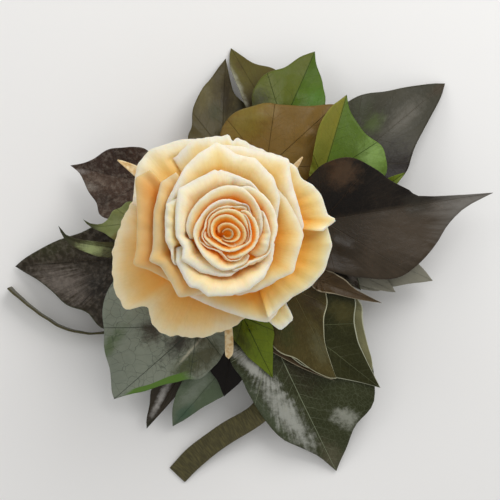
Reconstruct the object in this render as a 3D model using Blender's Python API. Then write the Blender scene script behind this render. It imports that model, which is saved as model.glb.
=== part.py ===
"""Preserved rose bouquet: one rose head on a bound hub, ringed by ivy leaves, with two flat band tails.

The bouquet lies face up on a surface, on the tips of its lowest leaves and on its tails, which hold the
backing disc a few millimetres clear. The petioles of the ivy leaves are gathered round a hub that stands
on the disc, and the calyx of the rose stands on the hub and carries the petals. The origin is on the
surface, in the middle of the footprint. Shapes are worked out in millimetres, and scaled to metres once,
where a mesh is made.
"""

import math
from dataclasses import dataclass

import bpy
import numpy as np

MM = 0.001

# Driving dimensions, in millimetres.
SEAT_GAP = 0.3
HUB_CENTRE = (-10.0, 7.0)
DISC_RADIUS = 14.0
DISC_THICKNESS = 2.0
DISC_CLEARANCE = 7.0
BAND_WIDTH = 6.0
BAND_THICKNESS = 0.6
HUB_RADIUS = 6.5
HUB_HEIGHT = 10.3
CALYX_HEIGHT = 4.7
RECEPTACLE_RADIUS = 10.5
RECEPTACLE_RISE = 2.4
ROSE_TILT_DEG = 8.0
ROSE_TILT_AZIMUTH_DEG = 20.0
PETAL_THICKNESS = 0.45
SEPAL_THICKNESS = 0.6
LEAF_THICKNESS = 0.5
PETIOLE_RADIUS = 0.7

# A body counts as clear of another when it is short of the wanted gap by no more than this.
CLEAR_ENOUGH = 0.02

BAND_Z = DISC_CLEARANCE + DISC_THICKNESS + SEAT_GAP
HUB_Z = BAND_Z + BAND_THICKNESS + SEAT_GAP
CALYX_Z = HUB_Z + HUB_HEIGHT + SEAT_GAP


# ---------------------------------------------------------------- helpers


def clear_scene():
    """Removes what the startup scene holds."""
    for thing in list(bpy.data.objects):
        bpy.data.objects.remove(thing, do_unlink=True)


def make_material(name, colour, roughness, metallic=0.0):
    """A Principled BSDF with one colour, given as linear red, green and blue."""
    material = bpy.data.materials.new(name)
    material.use_nodes = True
    shader = material.node_tree.nodes["Principled BSDF"]
    shader.inputs["Base Color"].default_value = (*colour, 1.0)
    shader.inputs["Roughness"].default_value = roughness
    shader.inputs["Metallic"].default_value = metallic
    return material


def add_mesh(name, points_mm, faces, material):
    """One smooth-shaded object from points in millimetres."""
    mesh = bpy.data.meshes.new(name)
    mesh.from_pydata((np.asarray(points_mm) * MM).tolist(), [], faces)
    mesh.update()
    mesh.shade_smooth()
    mesh.set_sharp_from_angle(angle=math.radians(50))
    mesh.materials.append(material)
    thing = bpy.data.objects.new(name, mesh)
    bpy.context.scene.collection.objects.link(thing)
    return thing


def smooth(x, low, high):
    """A step from 0 at low to 1 at high with level ends."""
    t = np.clip((np.asarray(x, float) - low) / (high - low), 0.0, 1.0)
    return t * t * (3.0 - 2.0 * t)


def unit(v):
    """v scaled to length 1 along its last axis."""
    v = np.asarray(v, float)
    return v / np.linalg.norm(v, axis=-1, keepdims=True)


def turn(axis, degrees):
    """The 3x3 matrix that turns by degrees about a unit axis."""
    x, y, z = unit(axis)
    c, s = math.cos(math.radians(degrees)), math.sin(math.radians(degrees))
    cross = np.array([[0, -z, y], [z, 0, -x], [-y, x, 0]])
    return np.eye(3) * c + np.outer((x, y, z), (x, y, z)) * (1 - c) + cross * s


def closed_skin(rings):
    """(points, faces) of a closed body: a first and a last point, and rings of equal length between them."""
    first, last, loops = rings[0], rings[-1], rings[1:-1]
    count = len(loops[0])
    points = [first, *[p for loop in loops for p in loop], last]
    end = len(points) - 1
    faces = [(0, 1 + i, 1 + (i + 1) % count) for i in range(count)]
    for k in range(len(loops) - 1):
        a, b = 1 + k * count, 1 + (k + 1) * count
        faces += [(a + i, b + i, b + (i + 1) % count, a + (i + 1) % count) for i in range(count)]
    a = 1 + (len(loops) - 1) * count
    faces += [(end, a + (i + 1) % count, a + i) for i in range(count)]
    return points, faces


def face_samples(points, faces, spacing):
    """(spots, corners, weights): spots about spacing apart over the faces, each a mix of three corners."""
    points = np.asarray(points)
    corners, weights = [], []
    for face in faces:
        for k in range(1, len(face) - 1):
            corner = np.array([face[0], face[k], face[k + 1]])
            a, b, c = points[corner]
            longest = max(np.linalg.norm(b - a), np.linalg.norm(c - a), np.linalg.norm(c - b))
            share = np.linspace(0.0, 1.0, int(longest / spacing) + 2)
            s, t = np.meshgrid(share, share)
            inside = s + t <= 1.0001
            s, t = s[inside], t[inside]
            weights.append(np.stack([1.0 - s - t, s, t], axis=1))
            corners.append(np.tile(corner, (len(s), 1)))
    corners, weights = np.concatenate(corners), np.concatenate(weights)
    return (points[corners] * weights[:, :, None]).sum(axis=1), corners, weights


def spread_need(points, corners, weights, need, slope):
    """How far each point must move for every spot to move by its need, fading with distance at the slope."""
    wanted = np.zeros(len(points))
    holds = weights > 0.1
    np.maximum.at(wanted, corners[holds], np.repeat(need[:, None], 3, axis=1)[holds])
    sources = wanted > 0
    gap = np.linalg.norm(points[:, None] - points[sources][None], axis=2)
    return np.clip((wanted[sources][None] - slope * gap).max(axis=1), 0.0, None)


# ---------------------------------------------------------------- rose petals

@dataclass
class Petal:
    """One petal: its middle azimuth and half its width in degrees, and the radii of its rim and its base.

    height is that of the middle of the rim above the receptacle's rim, and sag how much lower its ends are.
    claw is the share of its width that it has at its base, and swirl how far its rim winds outwards.
    """

    azimuth: float
    half_width: float
    rim: float
    base: float
    height: float
    claw: float = 0.4
    sag: float = 2.0
    swirl: float = 0.0


ROSE_PETALS = [
    # the furled bud
    Petal(0, 150, 1.3, 0.9, 28.6, claw=0.9, swirl=0.15),
    Petal(10, 150, 2.6, 1.8, 29.2, claw=0.8, swirl=0.25),
    Petal(127, 165, 4.1, 2.7, 29.8, claw=0.6, swirl=-0.10),
    Petal(82, 105, 5.7, 3.6, 30.2, claw=0.6, swirl=0.06),
    Petal(-49, 126, 5.9, 4.4, 30.6, claw=0.45, swirl=0.04),
    Petal(-16, 75, 7.0, 5.1, 30.6, claw=0.6, swirl=0.04),
    Petal(136, 82, 6.8, 5.8, 30.4, claw=0.55, swirl=-0.03),
    Petal(252, 66, 6.4, 6.0, 30.2, claw=0.35, swirl=0.04),
    # the ring round the bud
    Petal(170, 140, 8.7, 6.9, 30.6, claw=0.3, swirl=0.03),
    Petal(86, 96, 11.0, 7.0, 30.6, claw=0.3, swirl=0.05),
    Petal(3, 36, 10.6, 7.0, 30.4),
    Petal(-6, 90, 11.5, 7.8, 30.2, claw=0.3, swirl=0.15),
    # the broad petals with rolled rims
    Petal(158, 127, 14.0, 7.8, 29.0, claw=0.3, swirl=-0.12),
    Petal(278, 82, 15.3, 7.8, 28.0, claw=0.36, swirl=-0.08),
    Petal(174, 40, 16.0, 8.4, 26.5, claw=0.10),
    # the middle ring
    Petal(88, 77, 20.0, 8.6, 26.8, claw=0.28),
    Petal(-18, 72, 18.5, 8.6, 25.2, claw=0.36, sag=3.0),
    Petal(-35, 38, 18.0, 9.4, 22.5, claw=0.32, sag=4.0),
    Petal(195, 66, 19.3, 9.1, 24.2, claw=0.26, swirl=-0.05),
    # the outer ring
    Petal(187, 47, 23.7, 10.4, 20.5, claw=0.30, swirl=-0.12),
    Petal(50, 54, 23.3, 9.4, 22.8, claw=0.33),
    Petal(33, 28, 27.0, 10.2, 18.2, claw=0.3, sag=1.0),
    Petal(-18, 42, 26.8, 10.2, 14.8, claw=0.36, swirl=0.06),
    Petal(274, 42, 21.5, 9.4, 13.6, swirl=0.14),
    Petal(78, 38, 26.3, 9.4, 15.2, claw=0.15, sag=2.5),
    # the spread petals at the back
    Petal(118, 38, 27.8, 10.2, 12.4, claw=0.28, sag=2.5, swirl=0.05),
    Petal(307, 14, 27.0, 10.2, 9.6, claw=0.5, sag=1.0),
    Petal(150, 26, 21.2, 10.2, 11.5, claw=0.20, sag=2.5),
    Petal(222, 80, 27.8, 10.2, 8.4, claw=0.15),
]
PETAL_COLUMNS = 10
PETAL_ROW_SHARES = (0.0, 0.13, 0.40, 0.74, 1.0)
BASE_CLEARANCE = 0.42
KNEE_DROP = 2.2
LIP_CREST = 1.2
PETAL_SPACING = 0.85
OPENING_STEP = 0.8
OPENING_SLOPE = 0.25
OPENING_ROUNDS = 12


def receptacle_height(radius):
    """Height of the receptacle's domed top above its rim."""
    return RECEPTACLE_RISE * (1.0 - (radius / RECEPTACLE_RADIUS) ** 2)


def bezier(control, t):
    """Points of Bezier curves, whose control points are along the first axis, at shares t."""
    order = len(control) - 1
    t = np.reshape(t, (-1,) + (1,) * (control.ndim - 1))
    return sum(math.comb(order, k) * (1 - t) ** (order - k) * t**k * control[k] for k in range(order + 1))


def petal_surface(petal, rosette, columns, rows):
    """Grid of points over the petal, with rows at shares of its length, in the frame of the rose's axis.

    Each column is a curve from the base up a wall that hugs the petals within it, then out over a lip to
    the rim.
    """
    u = np.linspace(-1.0, 1.0, columns + 1)
    azimuth = petal.azimuth + petal.half_width * u
    rim = petal.rim * (1.0 + petal.swirl * u) * (1.0 - 0.06 * np.abs(u) ** 3)
    top = petal.height - petal.sag * np.abs(u) ** 2.6
    knee = top - KNEE_DROP * min(petal.rim / 16.0 + 0.2, 1.0)
    wall = rosette.wall(azimuth, knee, rim)
    low_wall = rosette.wall(azimuth, 0.5 * knee, wall)
    base = np.full_like(rim, petal.base)
    base_up = receptacle_height(base) + BASE_CLEARANCE + 0.5 * PETAL_THICKNESS
    control = np.array([
        (base, base_up),
        (np.minimum(low_wall, 0.5 * (petal.base + wall)), base_up + 0.25 * knee),
        (0.4 * low_wall + 0.6 * wall, 0.8 * knee),
        (wall, knee),
        (0.5 * (wall + rim), top + LIP_CREST * min(petal.rim / 16.0, 1.0)),
        (rim, top),
    ])
    curve = bezier(control, np.linspace(0.0, 1.0, 48))
    length = np.linalg.norm(np.diff(curve, axis=0), axis=1)
    share = np.concatenate([np.zeros((1, columns + 1)), np.cumsum(length, axis=0)]) / length.sum(axis=0)
    v = np.asarray(rows)
    r, z = (
        np.stack([np.interp(v, share[:, j], curve[:, k, j]) for j in range(columns + 1)], axis=1)
        for k in (0, 1)
    )
    spread = petal.claw + (1.0 - petal.claw) * smooth(v, 0.08, 0.6)[:, None]
    angle = np.radians(petal.azimuth + petal.half_width * u[None, :] * spread)
    return np.stack([r * np.cos(angle), r * np.sin(angle), z], axis=-1)


def rose_frame(points):
    """Points measured from the receptacle's rim along the rose's axis, leant over and set on the hub."""
    axis = turn((0, 0, 1), ROSE_TILT_AZIMUTH_DEG) @ np.array([0.0, 1.0, 0.0])
    tilted = (np.asarray(points, float) + (0, 0, CALYX_HEIGHT)) @ turn(axis, ROSE_TILT_DEG).T
    return tilted + (*HUB_CENTRE, CALYX_Z)


def grid_faces(rows, columns):
    """Quads of a grid with rows + 1 by columns + 1 points."""
    wide = columns + 1
    return [
        (i * wide + j, i * wide + j + 1, (i + 1) * wide + j + 1, (i + 1) * wide + j)
        for i in range(rows)
        for j in range(columns)
    ]


class Rosette:
    """How far out the petals made so far reach: the lowest angle above level by azimuth and distance.

    Angle and distance are taken about the ring where petals are rooted, in the plane of the rose's axis.
    """

    ROOT_RADIUS = 6.0
    LEAST_RADIUS = 0.3
    CELL_DEG = 1.5
    CELL_MM = 0.4
    CELLS_OUT = 160

    def __init__(self):
        self.lowest = np.full((int(360 / self.CELL_DEG), self.CELLS_OUT), math.tau)

    def measure(self, points):
        """(distance, angle) of points about the root ring, and their cell."""
        radius = np.hypot(points[:, 0], points[:, 1]) - self.ROOT_RADIUS
        distance, angle = np.hypot(radius, points[:, 2]), np.arctan2(points[:, 2], radius)
        azimuth = np.degrees(np.arctan2(points[:, 1], points[:, 0])) % 360.0
        row = (azimuth / self.CELL_DEG).astype(int) % len(self.lowest)
        return distance, angle, (row, (distance / self.CELL_MM).astype(int))

    def wall(self, azimuth, height, limit):
        """Radius at each azimuth of a wall of that height that hugs what is within it, short of limit."""
        row = (azimuth % 360.0 / self.CELL_DEG).astype(int) % len(self.lowest)
        radius = 0.6 * limit
        for _ in range(3):
            distance = np.hypot(radius - self.ROOT_RADIUS, height)
            angle = self.lowest[row, (distance / self.CELL_MM).astype(int)]
            hug = self.ROOT_RADIUS + distance * np.cos(np.minimum(angle, math.pi)) + PETAL_SPACING
            radius = np.where(angle > math.pi, 0.75 * limit, hug)
            radius = np.clip(radius, 0.3 * limit, 0.88 * limit)
        for _ in range(2):
            radius = np.convolve(np.pad(radius, 1, mode="edge"), (0.25, 0.5, 0.25), mode="valid")
        return radius

    def add(self, points, faces):
        """Takes in a finished petal, spread over the neighbouring cells."""
        _, angle, (row, column) = self.measure(face_samples(points, faces, self.CELL_MM)[0])
        for side in (-1, 0, 1):
            for step in (-1, 0, 1):
                cells = (row + side) % len(self.lowest), np.clip(column + step, 0, None)
                np.minimum.at(self.lowest, cells, angle)

    def opened(self, points, faces, loose):
        """Petal points turned outwards about the root ring until the petal clears those within it.

        loose is the share of its turn that each point follows: 0 at the root, which stays, and 1 beyond.
        """
        points = np.array(points)
        for _ in range(OPENING_ROUNDS):
            spots, corners, weights = face_samples(points, faces, OPENING_STEP)
            distance, angle, cell = self.measure(spots)
            need = (angle - self.lowest[cell]) * distance + PETAL_SPACING
            high = (need > CLEAR_ENOUGH) & (loose[corners].min(axis=1) > 0)
            if not high.any():
                break
            turn_by = loose * spread_need(points, corners[high], weights[high], need[high], OPENING_SLOPE)
            distance, angle, _ = self.measure(points)
            angle = angle - turn_by / np.maximum(distance, 1.0)
            azimuth = np.arctan2(points[:, 1], points[:, 0])
            radius = np.maximum(self.ROOT_RADIUS + distance * np.cos(angle), self.LEAST_RADIUS)
            points = np.stack(
                [radius * np.cos(azimuth), radius * np.sin(azimuth), distance * np.sin(angle)], axis=1
            )
        return points


def make_petals(material):
    """All petals from the bud outwards, each opened clear of those within it and thickened both ways."""
    rosette = Rosette()
    faces = grid_faces(len(PETAL_ROW_SHARES) - 1, PETAL_COLUMNS)
    loose = np.repeat(np.array(PETAL_ROW_SHARES) > 0, PETAL_COLUMNS + 1).astype(float)
    for order, petal in enumerate(ROSE_PETALS):
        points = petal_surface(petal, rosette, PETAL_COLUMNS, PETAL_ROW_SHARES).reshape(-1, 3)
        points = rosette.opened(points, faces, loose)
        rosette.add(points, faces)
        thing = add_mesh(f"rose_petal_{order + 1:02d}", rose_frame(points), faces, material)
        wall = thing.modifiers.new("thickness", "SOLIDIFY")
        wall.thickness = PETAL_THICKNESS * MM
        wall.offset = 0.0
    return rosette


# ---------------------------------------------------------------- ivy leaves

# Outline of a leaf as shares of its length, seen from its junction, at these angles from its midrib.
RAY_ANGLES = (0.0, 12.0, 28.0, 50.0, 80.0, 120.0, 180.0)
BROAD = (0.78, 0.67, 0.59, 0.47, 0.32)
HEART = (0.75, 0.66, 0.62, 0.54, 0.40)
LOBED = (0.68, 0.57, 0.66, 0.44, 0.38)
SLIM = (0.60, 0.40, 0.30, 0.24, 0.18)
SICKLE = (0.46, 0.27, 0.20, 0.17, 0.14)
LEAF_BASE = 0.08
BLADE_RINGS = (0.5, 1.0)
PETIOLE_SHARES = (0.22, 0.45, 0.72, 1.0)
PETIOLE_END_MARGIN = 1.2
LIFT_SPACING = 1.0
LIFT_SLOPE = 0.30
LIFT_GAP = 0.55
LIFT_ROUNDS = 20
HELD_RADIUS = 8.0
LOOSE_RADIUS = 15.0


@dataclass
class Leaf:
    """One ivy leaf between its junction and its tip. Angles are in degrees, and left is seen from above."""

    name: str
    junction: tuple
    tip: tuple
    left: tuple = BROAD
    right: tuple = BROAD
    fold: tuple = (12.0, 12.0)
    curl: tuple = (-20.0, -20.0)
    arch: float = 20.0
    flick: float = 0.0
    hook: float = 0.0
    roll: float = 0.0
    bent_stalk: float = 0.0


# From the lowest to the highest, as they lie over each other.
LEAVES = [
    Leaf("ivy_leaf_top_right", (27.4, 28.3, 12.0), (54.5, 51.0, 0.3), (0.74, 0.61, 0.50, 0.40, 0.28),
         (0.70, 0.54, 0.46, 0.36, 0.26), fold=(6, 8), arch=30),
    Leaf("ivy_leaf_top_left", (-7.7, 31.8, 11.5), (-6.8, 57.9, 1.4), LOBED, LOBED, fold=(16, 12), arch=22,
         hook=-14),
    Leaf("ivy_leaf_top_back", (6.0, 40.6, 12.5), (-5.3, 60.9, -0.3), HEART, BROAD, fold=(20, 8), arch=24,
         hook=-12),
    Leaf("ivy_leaf_far_left", (-33.4, 2.2, 13.0), (-65.5, -0.1, 1.0), (0.72, 0.66, 0.60, 0.58, 0.36),
         (0.74, 0.54, 0.42, 0.34, 0.26), fold=(14, 8), arch=26),
    Leaf("ivy_leaf_right_back", (26.0, 7.1, 12.5), (50.5, -4.0, 7.0), LOBED, BROAD, arch=18),
    Leaf("ivy_leaf_right_under", (23.2, 1.1, 13.5), (40.0, -7.1, 9.5), BROAD, SLIM, arch=14),
    Leaf("ivy_leaf_bottom_spike", (-16.4, -25.7, 11.0), (-28.8, -45.3, 2.0), SLIM, SLIM, fold=(14, 14),
         arch=25, hook=-10),
    Leaf("ivy_leaf_bottom_teal", (-6.0, -26.3, 12.5), (-21.5, -44.6, 2.0), BROAD, SLIM, fold=(4, 12),
         arch=22, bent_stalk=-4),
    Leaf("ivy_leaf_bottom_black", (-4.9, -20.2, 13.5), (-7.1, -35.7, 10.0), SLIM, BROAD, fold=(10, 10),
         arch=18, bent_stalk=12),
    Leaf("ivy_leaf_bottom_right", (6.0, -19.8, 12.0), (24.1, -57.3, 0.0), (0.70, 0.62, 0.52, 0.46, 0.36),
         (0.78, 0.68, 0.60, 0.46, 0.34), fold=(6, 14), curl=(-30, -40), arch=36),
    Leaf("ivy_leaf_right_edge", (20.5, -9.3, 13.5), (33.7, -28.7, 7.0), BROAD, BROAD, fold=(15, 15),
         arch=22),
    Leaf("ivy_leaf_top_green", (9.0, 38.6, 14.5), (18.0, 59.5, 5.0), (0.84, 0.74, 0.64, 0.50, 0.32),
         (0.74, 0.58, 0.50, 0.40, 0.30), fold=(10, 14), arch=26, hook=-10),
    Leaf("ivy_leaf_left_sickle", (-36.0, 4.9, 15.0), (-52.3, 11.0, 14.0), SICKLE, SLIM, fold=(35, 10),
         hook=-40),
    Leaf("ivy_leaf_upper_left", (-28.7, 22.7, 15.5), (-49.7, 27.9, 6.0), (0.78, 0.70, 0.70, 0.58, 0.36),
         (0.76, 0.64, 0.50, 0.42, 0.30), fold=(6, 26), arch=26),
    Leaf("ivy_leaf_right_curl", (30.6, 17.2, 15.0), (42.5, 25.7, 13.0), SLIM, SLIM, fold=(20, 20), arch=10,
         hook=20),
    Leaf("ivy_leaf_lower_brown", (3.8, -16.1, 15.0), (23.1, -31.3, 10.5), SICKLE, SLIM, arch=16),
    Leaf("ivy_leaf_lower_dark", (13.7, -16.1, 15.0), (36.0, -33.6, 6.5), (0.74, 0.66, 0.62, 0.52, 0.36),
         (0.66, 0.50, 0.40, 0.34, 0.26), fold=(10, 8), arch=24),
    Leaf("ivy_leaf_top_olive", (4.4, 26.7, 17.0), (23.7, 44.3, 14.0), (0.77, 0.70, 0.68, 0.66, 0.40),
         BROAD, fold=(-4, 4), arch=16),
    Leaf("ivy_leaf_lower_left", (-14.2, -16.1, 16.5), (-37.6, -36.8, 6.5), (0.68, 0.52, 0.43, 0.40, 0.30),
         (0.86, 0.84, 0.86, 0.60, 0.36), fold=(14, -2), curl=(-90, -14), arch=30),
    Leaf("ivy_leaf_left_green", (-31.3, 12.0, 17.0), (-45.5, 12.8, 15.5), SLIM,
         (0.56, 0.56, 0.72, 0.40, 0.30), fold=(16, 20), hook=-30),
    Leaf("ivy_leaf_lower_olive", (11.4, -6.0, 17.0), (23.6, -30.7, 11.5), (0.74, 0.60, 0.46, 0.34, 0.26),
         (0.80, 0.74, 0.68, 0.52, 0.36), fold=(6, 6), arch=24),
    Leaf("ivy_leaf_lower_green", (-1.9, -13.6, 16.0), (6.2, -30.5, 12.5), (0.72, 0.56, 0.46, 0.36, 0.26),
         (0.74, 0.58, 0.46, 0.34, 0.24), fold=(16, 16), arch=16),
    Leaf("ivy_leaf_right_sliver", (20.4, 3.0, 16.5), (30.2, -6.4, 15.0), BROAD, SLIM, fold=(24, 24),
         arch=12),
    Leaf("ivy_leaf_upper_right", (19.6, 23.9, 17.5), (26.4, 46.8, 15.0), (0.66, 0.48, 0.38, 0.30, 0.24),
         (0.78, 0.72, 0.72, 0.66, 0.40), fold=(48, 4), arch=20, hook=-6),
    Leaf("ivy_leaf_right_narrow", (18.5, -3.8, 17.8), (36.0, -10.0, 15.0), SLIM, SLIM, fold=(30, 30),
         arch=12, bent_stalk=3),
    Leaf("ivy_leaf_right_large", (19.6, 12.5, 18.0), (66.7, 20.2, 11.0), (0.66, 0.52, 0.50, 0.42, 0.28),
         (0.74, 0.63, 0.52, 0.36, 0.24), fold=(40, 6), curl=(-20, -30), arch=26, flick=-24, hook=10),
]


def leaf_outline(leaf, angles):
    """Share of the leaf's length that its blade reaches at each angle from the midrib, in degrees."""
    left = (1.0, *leaf.left, LEAF_BASE)
    right = (1.0, *leaf.right, LEAF_BASE)
    size = np.abs(angles)
    return np.where(angles >= 0, np.interp(size, RAY_ANGLES, left), np.interp(size, RAY_ANGLES, right))


def bent_axis(x, total_deg, power):
    """(along, across, heading) at x on a unit line that turns by total_deg, ever faster with power."""
    grid = np.linspace(-0.6, 1.0, 161)
    heading = np.radians(total_deg) * np.clip(grid, 0, 1) ** power
    step = grid[1] - grid[0]
    middle = 0.5 * (heading[1:] + heading[:-1])
    start = int(np.argmin(np.abs(grid)))
    along = np.concatenate([[0.0], np.cumsum(np.cos(middle) * step)])
    across = np.concatenate([[0.0], np.cumsum(np.sin(middle) * step)])
    along, across = along - along[start], across - across[start]
    return np.interp(x, grid, along), np.interp(x, grid, across), np.interp(x, grid, heading)


def leaf_shape(leaf, x, y):
    """Unit-length leaf at plan position (x, y): folded at the midrib, curled, hooked sideways and arched."""
    side = np.where(y >= 0, 1.0, -1.0)
    width = np.abs(y)
    fold = np.radians(np.where(y >= 0, leaf.fold[0], leaf.fold[1]))
    bend = np.radians(np.where(y >= 0, leaf.curl[0], leaf.curl[1])) + 1e-6
    out = (np.sin(fold + bend * width) - np.sin(fold)) / bend
    up = (np.cos(fold) - np.cos(fold + bend * width)) / bend
    along, across, heading = bent_axis(x, leaf.hook, 1.5)
    px = along - side * out * np.sin(heading)
    py = across + side * out * np.cos(heading)
    along, down, heading = bent_axis(px, leaf.arch, 1.0)
    flicked = bent_axis(px, -leaf.flick, 5.0)[1]
    return np.stack([along + up * np.sin(heading), py, -down + flicked + up * np.cos(heading)], axis=-1)


def leaf_placement(leaf):
    """(matrix, scale) that carry the unit leaf's junction and tip to where they lie."""
    tip = leaf_shape(leaf, np.array([1.0]), np.array([0.0]))[0]
    chord = np.subtract(leaf.tip, leaf.junction)

    def frame(forward, roll):
        forward = unit(forward)
        across = unit(np.cross((0, 0, 1), forward))
        basis = np.stack([forward, across, np.cross(forward, across)], axis=1)
        return turn(forward, roll) @ basis

    return frame(chord, leaf.roll) @ frame(tip, 0.0).T, np.linalg.norm(chord) / np.linalg.norm(tip)


def leaf_blade(leaf, angles, rings):
    """(points, normals) of the blade's middle surface in millimetres, one row of rays for each ring."""
    turned = np.radians(angles)[None, :]
    reach = leaf_outline(leaf, angles)[None, :] * np.asarray(rings)[:, None]
    x, y = reach * np.cos(turned), reach * np.sin(turned)
    matrix, scale = leaf_placement(leaf)
    small = 0.01
    ahead = leaf_shape(leaf, x + small, y) - leaf_shape(leaf, x - small, y)
    aside = leaf_shape(leaf, x, y + small) - leaf_shape(leaf, x, y - small)
    normals = unit(np.cross(ahead, aside))
    points = leaf_shape(leaf, x, y) * scale
    return points @ matrix.T + leaf.junction, normals @ matrix.T


def petiole_rings(leaf, start, forward, angles):
    """(rings, end) of the petiole, from under the junction to the hub's side."""
    away = np.array([leaf.junction[0] - HUB_CENTRE[0], leaf.junction[1] - HUB_CENTRE[1]])
    outward = turn((0, 0, 1), leaf.bent_stalk) @ np.array([*unit(away), 0.0])
    low, high = HUB_Z + PETIOLE_END_MARGIN, HUB_Z + HUB_HEIGHT - PETIOLE_END_MARGIN
    seat = float(np.clip(start[2] - 0.6, low, high))
    end = np.array([*HUB_CENTRE, seat]) + outward * (HUB_RADIUS + SEAT_GAP)
    reach = np.linalg.norm(end - start)
    control = np.array([
        start,
        start - forward * 1.6 - np.array([0.0, 0.0, 1.2]),
        end + outward * 0.4 * reach,
        end,
    ])
    t = np.array(PETIOLE_SHARES)[:, None]
    path = (
        (1 - t) ** 3 * control[0]
        + 3 * t * (1 - t) ** 2 * control[1]
        + 3 * t**2 * (1 - t) * control[2]
        + t**3 * control[3]
    )
    way = (
        (1 - t) ** 2 * (control[1] - control[0])
        + 2 * t * (1 - t) * (control[2] - control[1])
        + t**2 * (control[3] - control[2])
    )
    way = unit(way)
    across = unit(np.cross((0.0, 0.0, 1.0), -way))
    down = np.cross(across, -way)
    turned = np.radians(angles)
    below = np.cos(turned)[None, :, None] * down[:, None, :]
    beside = np.sin(turned)[None, :, None] * across[:, None, :]
    return path[:, None, :] + PETIOLE_RADIUS * (below + beside), end


def leaf_rings(leaf):
    """Rings of points over the leaf, from the top of its junction round its edge to the petiole's end."""
    rays = np.array(RAY_ANGLES)
    angles = np.concatenate([rays, -rays[-2:0:-1]])
    centre, upright = leaf_blade(leaf, angles[:1], [0.0])
    points, normals = leaf_blade(leaf, angles, BLADE_RINGS)
    half = 0.5 * LEAF_THICKNESS * (1.0 - 0.5 * np.asarray(BLADE_RINGS) ** 4)[:, None, None]
    top, bottom = points + normals * half, points - normals * half
    middle = centre[0, 0]
    lift = upright[0, 0] * 0.5 * LEAF_THICKNESS
    matrix, _ = leaf_placement(leaf)
    stalk, end = petiole_rings(leaf, middle - lift, matrix[:, 0], angles)
    return [middle + lift, *top, *bottom[::-1], *stalk, end]


class Ground:
    """Height of the highest thing laid so far, on a square grid over the footprint."""

    def __init__(self, reach=75.0, cell=0.5):
        self.reach, self.cell = reach, cell
        count = int(2 * reach / cell) + 1
        self.height = np.full((count, count), -100.0)

    def place(self, xy):
        cell = ((np.asarray(xy) + self.reach) / self.cell).round().astype(int)
        return np.clip(cell, 0, len(self.height) - 1)

    def under(self, points):
        """Height of what lies under each point."""
        cell = self.place(points[:, :2])
        return self.height[cell[:, 0], cell[:, 1]]

    def lay(self, points, faces):
        """Raises the grid to the top of a body."""
        spots = face_samples(points, faces, 0.6 * self.cell)[0]
        for side in (-0.5 * self.cell, 0.5 * self.cell):
            for step in (-0.5 * self.cell, 0.5 * self.cell):
                cell = self.place(spots[:, :2] + (side, step))
                np.maximum.at(self.height, (cell[:, 0], cell[:, 1]), spots[:, 2])


def laid_over(points, faces, ground):
    """Points lifted until the body clears what lies below.

    The lift fades with the distance from each high spot, and towards the hub, where the petioles are held.
    """
    points = np.array(points)
    loose = smooth(np.linalg.norm(points[:, :2] - HUB_CENTRE, axis=1), HELD_RADIUS, LOOSE_RADIUS)
    for _ in range(LIFT_ROUNDS):
        spots, corners, weights = face_samples(points, faces, LIFT_SPACING)
        need = ground.under(spots) + LIFT_GAP - spots[:, 2]
        away = np.linalg.norm(spots[:, :2] - HUB_CENTRE, axis=1)
        high = (need > CLEAR_ENOUGH) & (away > LOOSE_RADIUS)
        if not high.any():
            break
        points[:, 2] += loose * spread_need(points, corners[high], weights[high], need[high], LIFT_SLOPE)
    return points


def make_leaves(material):
    """All leaves, each laid over the ones before it."""
    ground = Ground()
    for leaf in LEAVES:
        points, faces = closed_skin(leaf_rings(leaf))
        points = laid_over(points, faces, ground)
        ground.lay(points, faces)
        add_mesh(leaf.name, points, faces, material)


# ---------------------------------------------------------------- hub, calyx and sepals

# (radius, height) of the calyx below the receptacle's rim, from its foot up, and of the receptacle's dome.
CALYX_SIDE = ((5.0, 0.0), (6.6, 0.9), (7.9, 2.1), (9.2, 3.5), (RECEPTACLE_RADIUS, CALYX_HEIGHT))
# (radius, height) below the receptacle's rim where a sepal leaves the calyx, inside its wall.
SEPAL_ROOT = (7.5, -2.6)
SEPAL_STATIONS = 6


@dataclass
class Sepal:
    """One sepal: its azimuth, how far its tip reaches from the rose's axis, its width, rise and sweep."""

    azimuth: float
    reach: float
    width: float
    tip_rise: float
    sweep: float = 0.0


SEPALS = [
    Sepal(139, 33.0, 4.2, 0.6, sweep=-2.0),
    Sepal(42, 32.0, 4.0, 4.5, sweep=-3.0),
    Sepal(-15, 24.0, 4.4, 1.0),
    Sepal(-83, 29.0, 4.0, -3.0, sweep=1.0),
    Sepal(-152, 24.0, 4.4, -4.0),
]


def ring(radius, height, sides):
    """Points of a level circle about the vertical axis."""
    around = np.linspace(0.0, 2.0 * math.pi, sides, endpoint=False)
    return np.stack([radius * np.cos(around), radius * np.sin(around), np.full(sides, height)], axis=1)


def turned_body(name, profile, centre, material, sides=24):
    """A body turned about a vertical axis from (radius, height) points that run from its top to its foot."""
    rings = [ring(radius, height, sides) for radius, height in profile]
    points, faces = closed_skin([(0.0, 0.0, profile[0][1]), *rings, (0.0, 0.0, profile[-1][1])])
    return add_mesh(name, np.asarray(points) + (*centre, 0.0), faces, material)


def make_calyx_body(material, sides=24):
    """The urn under the petals. It leans with the rose, and its foot is level on the hub."""
    dome = [
        ring(radius, receptacle_height(radius), sides)
        for radius in (0.35 * RECEPTACLE_RADIUS, 0.7 * RECEPTACLE_RADIUS)
    ]
    side = [ring(radius, height - CALYX_HEIGHT, sides) for radius, height in reversed(CALYX_SIDE[1:])]
    rings = [rose_frame(loop) for loop in (*dome, *side)]
    foot = ring(CALYX_SIDE[0][0], CALYX_Z, sides) + (*HUB_CENTRE, 0.0)
    top = rose_frame((0.0, 0.0, RECEPTACLE_RISE))
    points, faces = closed_skin([top, *rings, foot, (*HUB_CENTRE, CALYX_Z)])
    return add_mesh("calyx", points, faces, material)


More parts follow.
